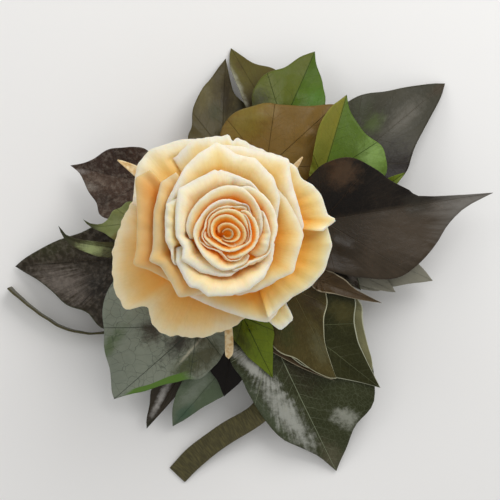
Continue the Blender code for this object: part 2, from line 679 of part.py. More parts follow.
def sepal_body(sepal, rosette, material):
    """A tapering strip that starts inside the calyx's wall and runs out under the petals to a point."""
    share = np.linspace(0.0, 1.0, SEPAL_STATIONS)
    reach = SEPAL_ROOT[0] + (sepal.reach - SEPAL_ROOT[0]) * share
    azimuth = math.radians(sepal.azimuth)
    aside = sepal.sweep * share**3
    height = SEPAL_ROOT[1] + 1.4 * share + sepal.tip_rise * share**2.5
    wide = 0.5 * sepal.width * (0.75 + 0.6 * share) * (1.0 - share**2.2) + 0.15
    out = np.array([math.cos(azimuth), math.sin(azimuth), 0.0])
    across = np.array([-out[1], out[0], 0.0])
    middle = reach[:, None] * out + aside[:, None] * across + height[:, None] * np.array([0.0, 0.0, 1.0])
    up = np.array([0.0, 0.0, 0.5 * SEPAL_THICKNESS])
    loops = []
    for centre, w in zip(middle, wide):
        left, right = centre + w * across, centre - w * across
        loops.append([left + up, right + up, right - up, left - up])
    points, faces = closed_skin([middle[0], *loops, middle[-1]])
    loose = np.concatenate([[0.0], np.repeat(share > 0.15, 4), [1.0]])
    points = rosette.opened(points, faces, loose)
    return add_mesh("sepal_part", rose_frame(points), faces, material)


def make_calyx(rosette, material):
    """The calyx and its five sepals, joined in one body."""
    calyx = make_calyx_body(material)
    for sepal in SEPALS:
        part = sepal_body(sepal, rosette, material)
        join = calyx.modifiers.new("join", "BOOLEAN")
        join.operation = "UNION"
        join.object = part
        part.hide_render = True
        part.display_type = "WIRE"


# ---------------------------------------------------------------- tails

# Stations of a tail: x, y and z of its middle line, and how far its width leans from level, in degrees.
LEFT_TAIL = (
    (-12.5, 4.5, 9.6, 0), (-20.5, -4.5, 9.6, 0), (-25.5, -10.5, 8.2, 30), (-31.0, -15.0, 4.6, 75),
    (-41.5, -18.6, 3.0, 90), (-51.3, -17.4, 3.0, 90), (-61.5, -11.0, 3.0, 86), (-67.0, -6.0, 2.95, 78),
)
LOWER_TAIL = (
    (-8.0, 3.0, 9.6, 0), (-4.0, -5.0, 9.6, 0), (2.0, -16.0, 9.0, 2), (6.0, -26.0, 8.4, 6),
    (6.6, -34.0, 7.6, 8), (2.2, -40.8, 6.4, 8), (-7.2, -46.9, 3.8, 5), (-15.1, -53.0, 1.6, 2),
    (-20.3, -58.4, 0.3, 0),
)
TAIL_SEGMENTS = 18


def smooth_route(stations, count):
    """Stations read from a smooth curve that passes through each of the given ones."""
    given = np.asarray(stations, float)
    padded = np.concatenate([[2 * given[0] - given[1]], given, [2 * given[-1] - given[-2]]])
    place = np.linspace(0.0, len(given) - 1, count + 1)
    k = np.minimum(place.astype(int), len(given) - 2)
    t = (place - k)[:, None]
    a, b, c, d = padded[k], padded[k + 1], padded[k + 2], padded[k + 3]
    square, cube = 2 * a - 5 * b + 4 * c - d, 3 * b - a - 3 * c + d
    return 0.5 * (2 * b + (c - a) * t + square * t**2 + cube * t**3)


def make_tail(name, stations, material):
    """One end of the flat band, carried along its route with its width leaning as the stations say."""
    route = smooth_route(stations, TAIL_SEGMENTS)
    middle, lean = route[:, :3], np.radians(route[:, 3])
    ahead = unit(np.gradient(middle, axis=0))
    level = unit(np.cross((0.0, 0.0, 1.0), ahead))
    upright = np.cross(ahead, level)
    across = np.cos(lean)[:, None] * level + np.sin(lean)[:, None] * upright
    through = np.cross(ahead, across)
    w, h = 0.5 * BAND_WIDTH * across, 0.5 * BAND_THICKNESS * through
    loops = list(np.stack([middle + w - h, middle - w - h, middle - w + h, middle + w + h], axis=1))
    points, faces = closed_skin([middle[0], *loops, middle[-1]])
    return add_mesh(name, points, faces, material)


# ---------------------------------------------------------------- the whole bouquet


def centre_on_footprint():
    """Moves everything so that the origin lies on the surface, in the middle of the footprint."""
    bpy.context.view_layer.update()
    depsgraph = bpy.context.evaluated_depsgraph_get()
    solids = [thing for thing in bpy.data.objects if not thing.hide_render]
    spots = np.array([v.co for thing in solids for v in thing.evaluated_get(depsgraph).data.vertices])
    low, high = spots.min(axis=0), spots.max(axis=0)
    shift = (-0.5 * (low[0] + high[0]), -0.5 * (low[1] + high[1]), -low[2])
    for thing in bpy.data.objects:
        thing.location = shift


def main():
    clear_scene()
    cream = make_material("cream_petal", (0.83, 0.60, 0.32), 0.55)
    tan = make_material("tan_sepal", (0.45, 0.29, 0.14), 0.7)
    green = make_material("ivy_green", (0.06, 0.08, 0.03), 0.45)
    olive = make_material("olive_band", (0.07, 0.055, 0.02), 0.9)
    rosette = make_petals(cream)
    make_leaves(green)
    make_calyx(rosette, tan)
    disc_top = DISC_CLEARANCE + DISC_THICKNESS
    turned_body("backing_disc", ((DISC_RADIUS, disc_top), (DISC_RADIUS, DISC_CLEARANCE)), HUB_CENTRE, olive)
    turned_body("stem_binding", ((HUB_RADIUS, HUB_Z + HUB_HEIGHT), (HUB_RADIUS, HUB_Z)), HUB_CENTRE, olive)
    make_tail("band_tail_left", LEFT_TAIL, olive)
    make_tail("band_tail_lower", LOWER_TAIL, olive)
    centre_on_footprint()


main()
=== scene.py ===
"""Looks of the preserved rose bouquet: a cream rose on a bound hub, ringed by preserved ivy leaves.

Every length is in millimetres, in the frame in which the CAD part was drawn, and is turned to metres in
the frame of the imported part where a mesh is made.
"""

import logging
import math
from dataclasses import dataclass, field
from enum import Enum
from typing import Any

import bpy
import numpy as np
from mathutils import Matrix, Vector
from numpy.typing import NDArray


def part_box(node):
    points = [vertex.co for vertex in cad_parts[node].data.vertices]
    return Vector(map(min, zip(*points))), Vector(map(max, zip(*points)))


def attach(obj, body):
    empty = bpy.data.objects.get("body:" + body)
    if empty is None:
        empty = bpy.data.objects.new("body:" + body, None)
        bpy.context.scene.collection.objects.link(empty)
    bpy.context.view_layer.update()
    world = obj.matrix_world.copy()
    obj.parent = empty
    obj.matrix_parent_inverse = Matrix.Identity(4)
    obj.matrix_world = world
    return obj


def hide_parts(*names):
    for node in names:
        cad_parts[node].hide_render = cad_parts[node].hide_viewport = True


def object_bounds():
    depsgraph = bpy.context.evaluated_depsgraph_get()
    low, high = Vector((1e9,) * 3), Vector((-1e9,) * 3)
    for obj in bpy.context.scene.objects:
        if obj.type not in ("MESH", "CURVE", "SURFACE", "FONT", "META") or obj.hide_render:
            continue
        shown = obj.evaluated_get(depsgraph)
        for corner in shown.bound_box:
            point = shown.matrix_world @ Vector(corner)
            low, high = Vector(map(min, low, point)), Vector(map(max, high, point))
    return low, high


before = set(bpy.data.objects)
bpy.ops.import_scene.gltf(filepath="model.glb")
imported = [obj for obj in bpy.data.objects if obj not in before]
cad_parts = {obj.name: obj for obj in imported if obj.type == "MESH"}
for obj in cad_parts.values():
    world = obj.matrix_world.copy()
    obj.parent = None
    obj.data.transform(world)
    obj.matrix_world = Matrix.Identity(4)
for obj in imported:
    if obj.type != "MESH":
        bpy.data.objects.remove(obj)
cad_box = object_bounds()

Array = NDArray[np.float64]
Socket = bpy.types.NodeSocket

log = logging.getLogger("bouquet")

MM = 0.001
TUBE_SIDES = 12

# Where the CAD part was drawn: the middle of the hub, and the heights of the disc, the hub and the calyx.
HUB_CENTRE = (-10.0, 7.0)
DISC_UNDERSIDE = 7.0
DISC_RADIUS = 14.0
DISC_THICKNESS = 2.0
HUB_RADIUS = 6.5
HUB_FOOT = 10.2
HUB_HEIGHT = 10.3
CALYX_FOOT = 20.8
CALYX_HEIGHT = 4.7
RECEPTACLE_RADIUS = 10.5
RECEPTACLE_RISE = 2.4
ROSE_TILT = 8.0
ROSE_TILT_AZIMUTH = 20.0


# ---------------- arrays


def smooth(x: Array, low: float, high: float) -> Array:
    """A step from 0 at low to 1 at high with level ends."""
    t = np.clip((np.asarray(x, float) - low) / (high - low), 0.0, 1.0)
    return t * t * (3.0 - 2.0 * t)


def unit(v: Array) -> Array:
    """v scaled to length 1 along its last axis."""
    v = np.asarray(v, float)
    return v / np.maximum(np.linalg.norm(v, axis=-1, keepdims=True), 1e-9)


def turn(axis: Array, degrees: float) -> Array:
    """The matrix that turns about an axis: its cosine part, the axis's own part and its sine part.

    Args:
        axis: The axis, of any length.
        degrees: How far it turns.

    Returns:
        A 3 by 3 matrix.
    """
    x, y, z = unit(axis)
    c, s = math.cos(math.radians(degrees)), math.sin(math.radians(degrees))
    cross = np.array([[0, -z, y], [z, 0, -x], [-y, x, 0]])
    return np.eye(3) * c + np.outer((x, y, z), (x, y, z)) * (1 - c) + cross * s


def bezier(control: Array, t: Array) -> Array:
    """Points of Bezier curves, whose weights are the terms of ((1 - t) + t) ** order, multiplied out.

    Args:
        control: Control points, which are along its first axis.
        t: Shares of the curves.

    Returns:
        The points, with the shares along the first axis.
    """
    t = t.reshape((-1,) + (1,) * (control.ndim - 1))
    order = len(control) - 1
    parts = [math.comb(order, k) * (1 - t) ** (order - k) * t**k * control[k] for k in range(order + 1)]
    return np.sum(parts, axis=0)


def route_through(stations: Array, count: int) -> Array:
    """Rows read from a smooth curve that passes through each of the given rows.

    Args:
        stations: One row of values for each place that the curve passes.
        count: How many steps the result has.

    Returns:
        count + 1 rows, evenly spread between the stations.
    """
    given = np.asarray(stations, float)
    padded = np.concatenate([[2 * given[0] - given[1]], given, [2 * given[-1] - given[-2]]])
    place = np.linspace(0.0, len(given) - 1, count + 1)
    k = np.minimum(place.astype(int), len(given) - 2)
    t = (place - k)[:, None]
    a, b, c, d = padded[k], padded[k + 1], padded[k + 2], padded[k + 3]
    square, cube = 2 * a - 5 * b + 4 * c - d, 3 * b - a - 3 * c + d
    return 0.5 * (2 * b + (c - a) * t + square * t**2 + cube * t**3)


def grid_normals(points: Array) -> Array:
    """Unit normals of a grid of points: the way its rows run, crossed with the way its columns run."""
    return unit(np.cross(np.gradient(points, axis=0), np.gradient(points, axis=1)))


def waves(x: Array, rng: np.random.Generator, counts: tuple[float, ...]) -> Array:
    """A sum of sines with random phases and heights.

    Args:
        x: Where it is read.
        rng: Where the phases and heights come from.
        counts: Waves for each unit of x.

    Returns:
        The sum, about 1 high.
    """
    total = np.zeros_like(x)
    for count in counts:
        total += np.sin(math.tau * (count * x + rng.uniform())) * rng.uniform(0.6, 1.0)
    return total / math.sqrt(len(counts))


def blurred(values: Array, rounds: int) -> Array:
    """An array smoothed by weights of 1, 2 and 1 along both axes.

    Args:
        values: A two-dimensional array.
        rounds: How many times it is smoothed.

    Returns:
        The smoothed array.
    """
    for _ in range(rounds):
        padded = np.pad(values, 1, mode="edge")
        across = 0.25 * (padded[:, :-2] + padded[:, 2:]) + 0.5 * padded[:, 1:-1]
        values = 0.25 * (across[:-2] + across[2:]) + 0.5 * across[1:-1]
    return values


def spread(need: Array, fall_rows: Array | float, fall_columns: Array | float, rounds: int) -> Array:
    """An array grown outwards from its high places, so that it falls by no more than fall per step.

    Args:
        need: What each place asks for.
        fall_rows: How much the result may fall from one row to the next.
        fall_columns: How much it may fall from one column to the next.
        rounds: How many steps it is carried.

    Returns:
        The grown array, nowhere less than need.
    """
    need = need.copy()
    for _ in range(rounds):
        need[1:] = np.maximum(need[1:], need[:-1] - fall_rows)
        need[:-1] = np.maximum(need[:-1], need[1:] - fall_rows)
        need[:, 1:] = np.maximum(need[:, 1:], need[:, :-1] - fall_columns)
        need[:, :-1] = np.maximum(need[:, :-1], need[:, 1:] - fall_columns)
    return need


def refined(points: Array, times: int) -> Array:
    """A finer grid, read in straight lines between the points of a grid.

    Args:
        points: Rows by columns by 3.
        times: How many steps take the place of one.

    Returns:
        The finer grid.
    """
    rows, columns = points.shape[:2]
    i = np.linspace(0, rows - 1, (rows - 1) * times + 1)
    j = np.linspace(0, columns - 1, (columns - 1) * times + 1)
    i0, j0 = np.minimum(i.astype(int), rows - 2), np.minimum(j.astype(int), columns - 2)
    s, t = (i - i0)[:, None, None], (j - j0)[None, :, None]
    low = points[i0][:, j0] * (1 - t) + points[i0][:, j0 + 1] * t
    high = points[i0 + 1][:, j0] * (1 - t) + points[i0 + 1][:, j0 + 1] * t
    return low * (1 - s) + high * s


# ---------------- meshes


@dataclass
class Skin:
    """Vertices in millimetres, faces as rows of corner numbers, and values for each vertex."""

    points: Array
    quads: NDArray[np.int64]
    triangles: NDArray[np.int64] = field(default_factory=lambda: np.zeros((0, 3), int))
    values: dict[str, Array] = field(default_factory=dict)

    def joined(self, other: "Skin") -> "Skin":
        """Both skins as one, with zeros where the other lacks a value.

        Args:
            other: The skin that is added.

        Returns:
            The joined skin.
        """
        count = len(self.points)
        values = {
            name: np.concatenate([v, other.values.get(name, np.zeros((len(other.points), v.shape[1])))])
            for name, v in self.values.items()
        }
        return Skin(
            np.concatenate([self.points, other.points]),
            np.concatenate([self.quads, other.quads + count]),
            np.concatenate([self.triangles, other.triangles + count]),
            values,
        )


def grid_quads(rows: int, columns: int, wrapped: bool = False) -> NDArray[np.int64]:
    """Quads of a grid, facing along its rows' way crossed with its columns' way.

    Args:
        rows: How many rows of points it has.
        columns: How many points each row has.
        wrapped: Whether the last column meets the first.

    Returns:
        Rows of four point numbers.
    """
    i, j = np.meshgrid(np.arange(rows - 1), np.arange(columns - (0 if wrapped else 1)), indexing="ij")
    k = (j + 1) % columns
    quads = np.stack([i * columns + j, (i + 1) * columns + j, (i + 1) * columns + k, i * columns + k], -1)
    return quads.reshape(-1, 4)


def sheet_skin(middle: Array, thickness: Array, values: dict[str, Array]) -> Skin:
    """A closed sheet about a grid of middle points, with a rounded edge.

    Args:
        middle: Grid of points, rows by columns by 3.
        thickness: Thickness at each point of the grid.
        values: Values for each point of the grid, each rows by columns by any width.

    Returns:
        The top grid, the bottom grid and a middle loop round the edge.
    """
    rows, columns = middle.shape[:2]
    count = rows * columns
    offset = grid_normals(middle) * 0.5 * thickness[..., None]
    flat = middle.reshape(-1, 3)
    number = np.arange(count).reshape(rows, columns)
    loop = np.concatenate([number[:-1, 0], number[-1, :-1], number[:0:-1, -1], number[0, :0:-1]])
    inward = np.clip(np.stack([loop // columns, loop % columns]), 1, [[rows - 2], [columns - 2]])
    away = unit(flat[loop] - middle[inward[0], inward[1]])
    rim = flat[loop] + away * 0.3 * thickness.reshape(-1)[loop, None]
    points = np.concatenate([flat + offset.reshape(-1, 3), flat - offset.reshape(-1, 3), rim])
    quads = grid_quads(rows, columns)
    after, middle_row = np.roll(loop, -1), 2 * count + np.arange(len(loop))
    after_row = np.roll(middle_row, -1)
    sides = np.concatenate([
        np.stack([after, loop, middle_row, after_row], 1),
        np.stack([after_row, middle_row, loop + count, after + count], 1),
    ])
    quads = np.concatenate([quads, quads[:, ::-1] + count, sides])
    spread_values = {}
    for name, given in values.items():
        given = given.reshape(count, -1)
        spread_values[name] = np.concatenate([given, given, given[loop]])
    return Skin(points, quads, values=spread_values)


def tube_skin(centres: Array, across: Array, down: Array) -> Skin:
    """A closed tube about a line of centres.

    Args:
        centres: One centre for each ring.
        across: Half widths of the rings as vectors, rings by 3.
        down: Half depths of the rings as vectors, rings by 3.

    Returns:
        Rings of TUBE_SIDES points with a point at either end.
    """
    around = np.linspace(0.0, math.tau, TUBE_SIDES, endpoint=False)
    rings = (
        centres[:, None]
        + np.cos(around)[None, :, None] * across[:, None]
        + np.sin(around)[None, :, None] * down[:, None]
    )
    return ring_skin(rings, centres[0], centres[-1])


def ring_skin(rings: Array, first: Array, last: Array) -> Skin:
    """A closed body of rings with a point at either end. Seen from its start, the rings run clockwise.

    Args:
        rings: Rings by points by 3.
        first: The point before the first ring.
        last: The point after the last ring.

    Returns:
        The skin.
    """
    count, sides = rings.shape[:2]
    points = np.concatenate([rings.reshape(-1, 3), [first], [last]])
    quads = grid_quads(count, sides, wrapped=True)[:, ::-1]
    j = np.arange(sides)
    k = (j + 1) % sides
    end = count * sides
    start_cap = np.stack([np.full(sides, end), j, k], 1)
    end_cap = np.stack([np.full(sides, end + 1), (count - 1) * sides + k, (count - 1) * sides + j], 1)
    return Skin(points, quads, np.concatenate([start_cap, end_cap]))


@dataclass(frozen=True)
class Workshop:
    """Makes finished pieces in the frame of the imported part."""

    shift: tuple[float, float, float]

    @classmethod
    def at_disc(cls) -> "Workshop":
        """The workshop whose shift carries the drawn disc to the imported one.

        Returns:
            The workshop.
        """
        low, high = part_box("backing_disc")
        centre = (low + high) / (2 * MM)
        return cls((centre.x - HUB_CENTRE[0], centre.y - HUB_CENTRE[1], low.z / MM - DISC_UNDERSIDE))

    def to_metres(self, points: Array) -> Array:
        """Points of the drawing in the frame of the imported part."""
        return (points + np.array(self.shift)) * MM

    def piece(self, name: str, skin: Skin, material: bpy.types.Material, *nodes: str) -> bpy.types.Object:
        """One finished piece that rides on the bouquet and stands for CAD nodes.

        Args:
            name: Name of the piece.
            skin: Its closed surface.
            material: What it is made of.
            nodes: The CAD nodes that it replaces.

        Returns:
            The piece's object.
        """
        mesh = bpy.data.meshes.new(name)
        faces = skin.quads.tolist() + skin.triangles.tolist()
        mesh.from_pydata(self.to_metres(skin.points).tolist(), [], faces)
        for label, given in skin.values.items():
            kind = "FLOAT_VECTOR" if given.shape[1] == 3 else "FLOAT"
            store = mesh.attributes.new(label, kind, "POINT")
            store.data.foreach_set("vector" if given.shape[1] == 3 else "value", given.ravel())
        mesh.update()
        mesh.shade_smooth()
        mesh.materials.append(material)
        thing = bpy.data.objects.new(name, mesh)
        bpy.context.scene.collection.objects.link(thing)
        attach(thing, "root")
        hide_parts(*nodes)
        log.info("%s: %d vertices, %d faces", name, len(mesh.vertices), len(mesh.polygons))
        return thing


# ---------------- materials


def linear(code: str) -> tuple[float, float, float, float]:
    """Linear red, green, blue and alpha of an sRGB colour.

    Up to 0.04045 a channel is divided by 12.92. Above that, 0.055 is added, the sum is divided by 1.055 and
    raised to the power 2.4.

    Args:
        code: The colour as six hexadecimal digits.

    Returns:
        The colour as shaders take it, with alpha 1.
    """
    parts = [int(code[i : i + 2], 16) / 255 for i in (0, 2, 4)]
    r, g, b = [p / 12.92 if p <= 0.04045 else ((p + 0.055) / 1.055) ** 2.4 for p in parts]
    return r, g, b, 1.0


def per_metre(size: float) -> float:
    """How many blobs of a size in millimetres fit side by side in a metre."""
    return 1.0 / (size * MM)


class Node(Enum):
    """The nodes of the finishes.

    Each is a type without its ShaderNode prefix, the settings that it always has, the names or numbers of
    the inputs that are fed in turn, and that of the output that is read.
    """

    PLACE = ("TexCoord", {}, (), "Object")
    KEPT = ("Attribute", {}, (), "Vector")
    SPLIT = ("SeparateXYZ", {}, (0,), 0)
    JOINED = ("CombineXYZ", {}, (0, 1, 2), 0)
    MAPPED = ("Mapping", {}, ("Vector", "Location", "Rotation", "Scale"), "Vector")
    SHIFTED = ("VectorMath", {"operation": "ADD"}, (0, 1), 0)
    SCALED = ("VectorMath", {"operation": "MULTIPLY"}, (0, 1), 0)
    LENGTH = ("VectorMath", {"operation": "LENGTH"}, (0,), "Value")
    PLUS = ("Math", {"operation": "ADD"}, (0, 1), 0)
    LESS = ("Math", {"operation": "SUBTRACT"}, (0, 1), 0)
    TIMES = ("Math", {"operation": "MULTIPLY"}, (0, 1), 0)
    TIMES_PLUS = ("Math", {"operation": "MULTIPLY_ADD"}, (0, 1, 2), 0)
    HIGHER = ("Math", {"operation": "MAXIMUM"}, (0, 1), 0)
    UNSIGNED = ("Math", {"operation": "ABSOLUTE"}, (0,), 0)
    FRACTION = ("Math", {"operation": "FRACT"}, (0,), 0)
    BEARING = ("Math", {"operation": "ARCTAN2"}, (0, 1), 0)
    STEP = ("MapRange", {"interpolation_type": "SMOOTHSTEP"}, (0, 1, 2, 3, 4), "Result")
    NOISE = ("TexNoise", {}, ("Vector", "Scale", "Detail", "Roughness"), "Fac")
    CELL_EDGE = ("TexVoronoi", {"feature": "DISTANCE_TO_EDGE"}, ("Vector", "Scale"), "Distance")
    RAMP = ("ValToRGB", {}, (0,), "Color")
    MIX = ("Mix", {"data_type": "RGBA"}, (0, 6, 7), 2)
    BUMP = ("Bump", {}, ("Height", "Distance", "Normal"), "Normal")


@dataclass
class Paint:
    """A material in the making, whose nodes lead to its Principled BSDF."""

    material: bpy.types.Material

    @classmethod
    def named(cls, name: str) -> "Paint":
        """A new material of that name, with a Principled BSDF."""
        material = bpy.data.materials.new(name)
        material.use_nodes = True
        return cls(material)

    def feed(self, target: bpy.types.Node, inputs: dict[Any, Any]) -> None:
        """Sets or links inputs of a node.

        Args:
            target: The node.
            inputs: What goes into its inputs, by name or number: another socket, or a value.
        """
        for name, value in inputs.items():
            if isinstance(value, bpy.types.NodeSocket):
                self.material.node_tree.links.new(value, target.inputs[name])
            else:
                target.inputs[name].default_value = value

    def add(self, node: Node, *inputs: Any, **settings: Any) -> Socket:
        """Adds one node.

        Args:
            node: Which node it is.
            inputs: What goes into the inputs that the node names, in turn: another socket, or a value.
            settings: More properties of the node itself.

        Returns:
            The output that the node names.
        """
        kind, fixed, feeds, read = node.value
        made = self.material.node_tree.nodes.new("ShaderNode" + kind)
        for name, value in (fixed | settings).items():
            setattr(made, name, value)
        self.feed(made, dict(zip(feeds, inputs)))
        return made.outputs[read]

    def kept(self, name: str) -> list[Socket]:
        """The three parts of what the mesh keeps for each vertex under a name."""
        return list(self.add(Node.SPLIT, self.add(Node.KEPT, attribute_name=name)).node.outputs)

    def swayed(self, value: Socket, noise: Socket, much: float, **settings: Any) -> Socket:
        """The value plus much of what a noise from 0 to 1 is above 0.5, with settings for the sum."""
        return self.add(Node.TIMES_PLUS, self.add(Node.LESS, noise, 0.5), much, value, **settings)

    def finish(self, **inputs: Any) -> bpy.types.Material:
        """Sets or links inputs of the Principled BSDF.

        Args:
            inputs: What goes into its inputs, with underscores for the spaces in their names.

        Returns:
            The finished material.
        """
        shader = self.material.node_tree.nodes["Principled BSDF"]
        self.feed(shader, {name.replace("_", " "): value for name, value in inputs.items()})
        return self.material


@dataclass(frozen=True)
class PetalFinish:
    """A preserved petal: matt and softly lit from within, pale at its rim and ever warmer towards its foot.

    The colours rim, near, body, low and foot follow each other over depth, at the shares in places. Below
    the rim, the inner side of the bud's petals and of those round it turns to painted_crevice_glow, an amber
    that is painted shade in the crevices and also shines by itself as painted glow: through is how strongly.
    outer_depth is how much of the warmth a petal's outer side has. glow and glow_reach say how much light
    sinks in and how far, blotch, fibre and crumple are the sizes of its blotches, fibres and crumples, with
    what they show or how deep they are, and painted_crevice_glow_reach is where the painted crevice colour
    starts and is full. shaded_outer_tint and painted_shade_tint are painted shade. Lengths are in
    millimetres.
    """

    rim: str = "faedd3"
    near: str = "f9dba6"
    body: str = "f8c97c"
    low: str = "fdb551"
    foot: str = "ff9e1f"
    places: tuple[float, float, float, float, float] = (0.04, 0.16, 0.32, 0.52, 0.9)
    bud_tint: str = "ffdc84"
    # Painted shade: a warmer tint for the back petals and the broad lower-left one.
    shaded_outer_tint: str = "ffecd9"
    # Painted shade: a darker tan for the left petals that lie in shade.
    painted_shade_tint: str = "d6ba88"
    fibre_tint: str = "d9a85c"
    # Painted shade and glow in the crevices: an amber that also shines by itself as much as through says.
    painted_crevice_glow: str = "de8610"
    painted_crevice_glow_reach: tuple[float, float] = (0.9, 3.4)
    through: float = 0.2
    outer_depth: float = 0.4
    bud_warmth: float = 5.0
    depth: float = 17.0
    glow: float = 0.55
    glow_reach: float = 1.8
    roughness: float = 0.6
    blotch: float = 5.0
    blotch_show: float = 0.16
    fibre: float = 0.45
    fibre_show: float = 0.1
    fibre_depth: float = 0.1
    crumple: float = 3.5
    crumple_depth: float = 0.3

    def warm_colour(self, paint: Paint, from_rim: Socket, bud: Socket, outer: Socket) -> Socket:
        """The colour from rim to foot, which comes sooner in the bud and later on the outer side.

        Args:
            paint: The material in the making.
            from_rim: Distance from the rim.
            bud: How much of the bud's colour the petal has.
            outer: 1 on the outer side.

        Returns:
            The colour.
        """
        add = paint.add
        warm = add(Node.TIMES_PLUS, bud, self.bud_warmth, 1.0)
        warm = add(Node.TIMES, warm, add(Node.STEP, outer, 0.0, 1.0, 1.0, self.outer_depth))
        deep = add(Node.TIMES, add(Node.TIMES, from_rim, warm), 1.0 / self.depth)
        blotches = add(Node.NOISE, add(Node.PLACE), per_metre(self.blotch), 3.0, 0.5)
        colour = add(Node.RAMP, paint.swayed(deep, blotches, self.blotch_show, use_clamp=True))
        elements = colour.node.color_ramp.elements
        while len(elements) < len(self.places):
            elements.new(0.5)
        codes = (self.rim, self.near, self.body, self.low, self.foot)
        for element, place, code in zip(elements, self.places, codes):
            element.position = place
            element.color = linear(code)
        return colour

    def material(self) -> bpy.types.Material:
        """The petal's material.

        The attribute petal holds the distance from the rim, the place round the rose and the share of the
        bud's colour. The attribute age holds how soon the painted crevice shade and glow start,
        how much painted shade (tan) darkens the petal, and 1 on its outer side.

        Returns:
            The material.
        """
        paint = Paint.named("cream_petal")
        add = paint.add
        from_rim, aside, bud = paint.kept("petal")
        core, tan, outer = paint.kept("age")
        colour = self.warm_colour(paint, from_rim, bud, outer)
        in_bud = add(Node.TIMES, bud, 0.8, use_clamp=True)
        colour = add(Node.MIX, in_bud, colour, linear(self.bud_tint), blend_type="MULTIPLY")
        # Painted shade: petals below -0.05 in bud take the warm shaded_outer_tint.
        shaded_outer = add(Node.STEP, bud, -0.08, -0.05, 1.0, 0.0)
        colour = add(Node.MIX, shaded_outer, colour, linear(self.shaded_outer_tint), blend_type="MULTIPLY")
        # Painted shade: tan darkens the left petals that lie in shade.
        colour = add(Node.MIX, tan, colour, linear(self.painted_shade_tint), blend_type="MULTIPLY")
        # Painted shade and glow: below the rim, the inner side turns to the crevice amber.
        painted_crevice_glow = add(Node.STEP, add(Node.TIMES, from_rim, core), *self.painted_crevice_glow_reach)
        painted_crevice_glow = add(Node.TIMES, painted_crevice_glow, add(Node.STEP, outer, 0.0, 1.0, 1.0, 0.0))
        colour = add(Node.MIX, painted_crevice_glow, colour, linear(self.painted_crevice_glow))
        # Fibres run from foot to rim, so they change eight times as fast round the rose.
        flow = add(Node.JOINED, aside, add(Node.TIMES, from_rim, 0.12), bud)
        fibres = add(Node.NOISE, flow, 1.0 / self.fibre, 5.0, 0.6)
        shown = add(Node.STEP, fibres, 0.4, 0.75, 0.0, self.fibre_show)
        colour = add(Node.MIX, shown, colour, linear(self.fibre_tint))
        crumples = add(Node.NOISE, add(Node.PLACE), per_metre(self.crumple), 2.0, 0.5)
        normal = add(Node.BUMP, fibres, self.fibre_depth * MM)
        return paint.finish(
            Base_Color=colour,
            Roughness=self.roughness,
            Specular_IOR_Level=0.3,
            Subsurface_Weight=self.glow,
            Subsurface_Scale=self.glow_reach * MM,
            Subsurface_Radius=(1.0, 0.62, 0.34),
            Sheen_Weight=0.08,
            Sheen_Roughness=0.5,
            # Painted glow: the crevices shine by themselves.
            Emission_Color=linear(self.painted_crevice_glow),
            Emission_Strength=add(Node.TIMES, painted_crevice_glow, self.through),
            Normal=add(Node.BUMP, crumples, self.crumple_depth * MM, normal),
        )


@dataclass(frozen=True)
class Patch:
    """A soft-edged oval of another colour on a leaf, like a painted gleam (a painted highlight or sheen), a
    painted shade, a dry spot or a greener spot.

    along and aside are its middle, long and wide its half sizes, all as shares of the leaf's length, and
    turned is how far its long axis leans from the midrib to the left, in degrees. streaked and speckled are
    how much the leaf's streaks and small speckles break up its rim. speckle is their size in millimetres.
    """

    along: float
    aside: float
    long: float
    wide: float
    colour: str
    turned: float = 0.0
    share: float = 0.75
    streaked: float = 0.7
    speckled: float = 1.6
    speckle: float = 2.2

    def mask(self, paint: Paint, flat: Socket, streaks: Socket) -> Socket:
        """How much of the patch's colour shows, frayed along the leaf's streaks.

        It falls in a smooth step with the distance from the patch's middle, where 1 is its rim.

        Args:
            paint: The material in the making.
            flat: The place along the midrib and aside from it.
            streaks: The leaf's streaks.

        Returns:
            The share of the patch's colour.
        """
        middle, turned = (self.along, self.aside, 0.0), (0.0, 0.0, math.radians(self.turned))
        half = (self.long, self.wide, 1.0)
        local = paint.add(Node.MAPPED, flat, middle, turned, half, vector_type="TEXTURE")
        speckles = paint.add(Node.NOISE, paint.add(Node.PLACE), per_metre(self.speckle), 4.0, 0.7)
        frayed = paint.swayed(paint.add(Node.LENGTH, local), streaks, self.streaked)
        frayed = paint.swayed(frayed, speckles, self.speckled)
        return paint.add(Node.STEP, frayed, 0.1, 1.3, self.share, 0.0)


@dataclass(frozen=True)
class LeafSpot:
    """What a leaf's material knows of each spot, and the paint that it is made with.

    place is on the object, along and aside are shares of the leaf's length, from_main and from_edge the
    distances from a main vein and from the edge, phase counts the side veins, and streaks fan out from the
    leaf's foot along rays.
    """

    paint: Paint
    place: Socket
    along: Socket
    aside: Socket
    from_main: Socket
    from_edge: Socket
    phase: Socket
    rays: Socket
    streaks: Socket

    @classmethod
    def read(cls, paint: Paint) -> "LeafSpot":
        """The spot, from the attributes vein and blade.

        Args:
            paint: The material in the making.

        Returns:
            The spot.
        """
        from_main, phase, from_edge = paint.kept("vein")
        along, aside, _ = paint.kept("blade")
        bearing = paint.add(Node.BEARING, aside, paint.add(Node.PLUS, along, 0.05))
        rays = paint.add(Node.JOINED, paint.add(Node.TIMES, bearing, 9.0), along)
        streaks = paint.add(Node.NOISE, rays, 1.0 / 0.35, 4.0, 0.65)
        return cls(paint, paint.add(Node.PLACE), along, aside, from_main, from_edge, phase, rays, streaks)


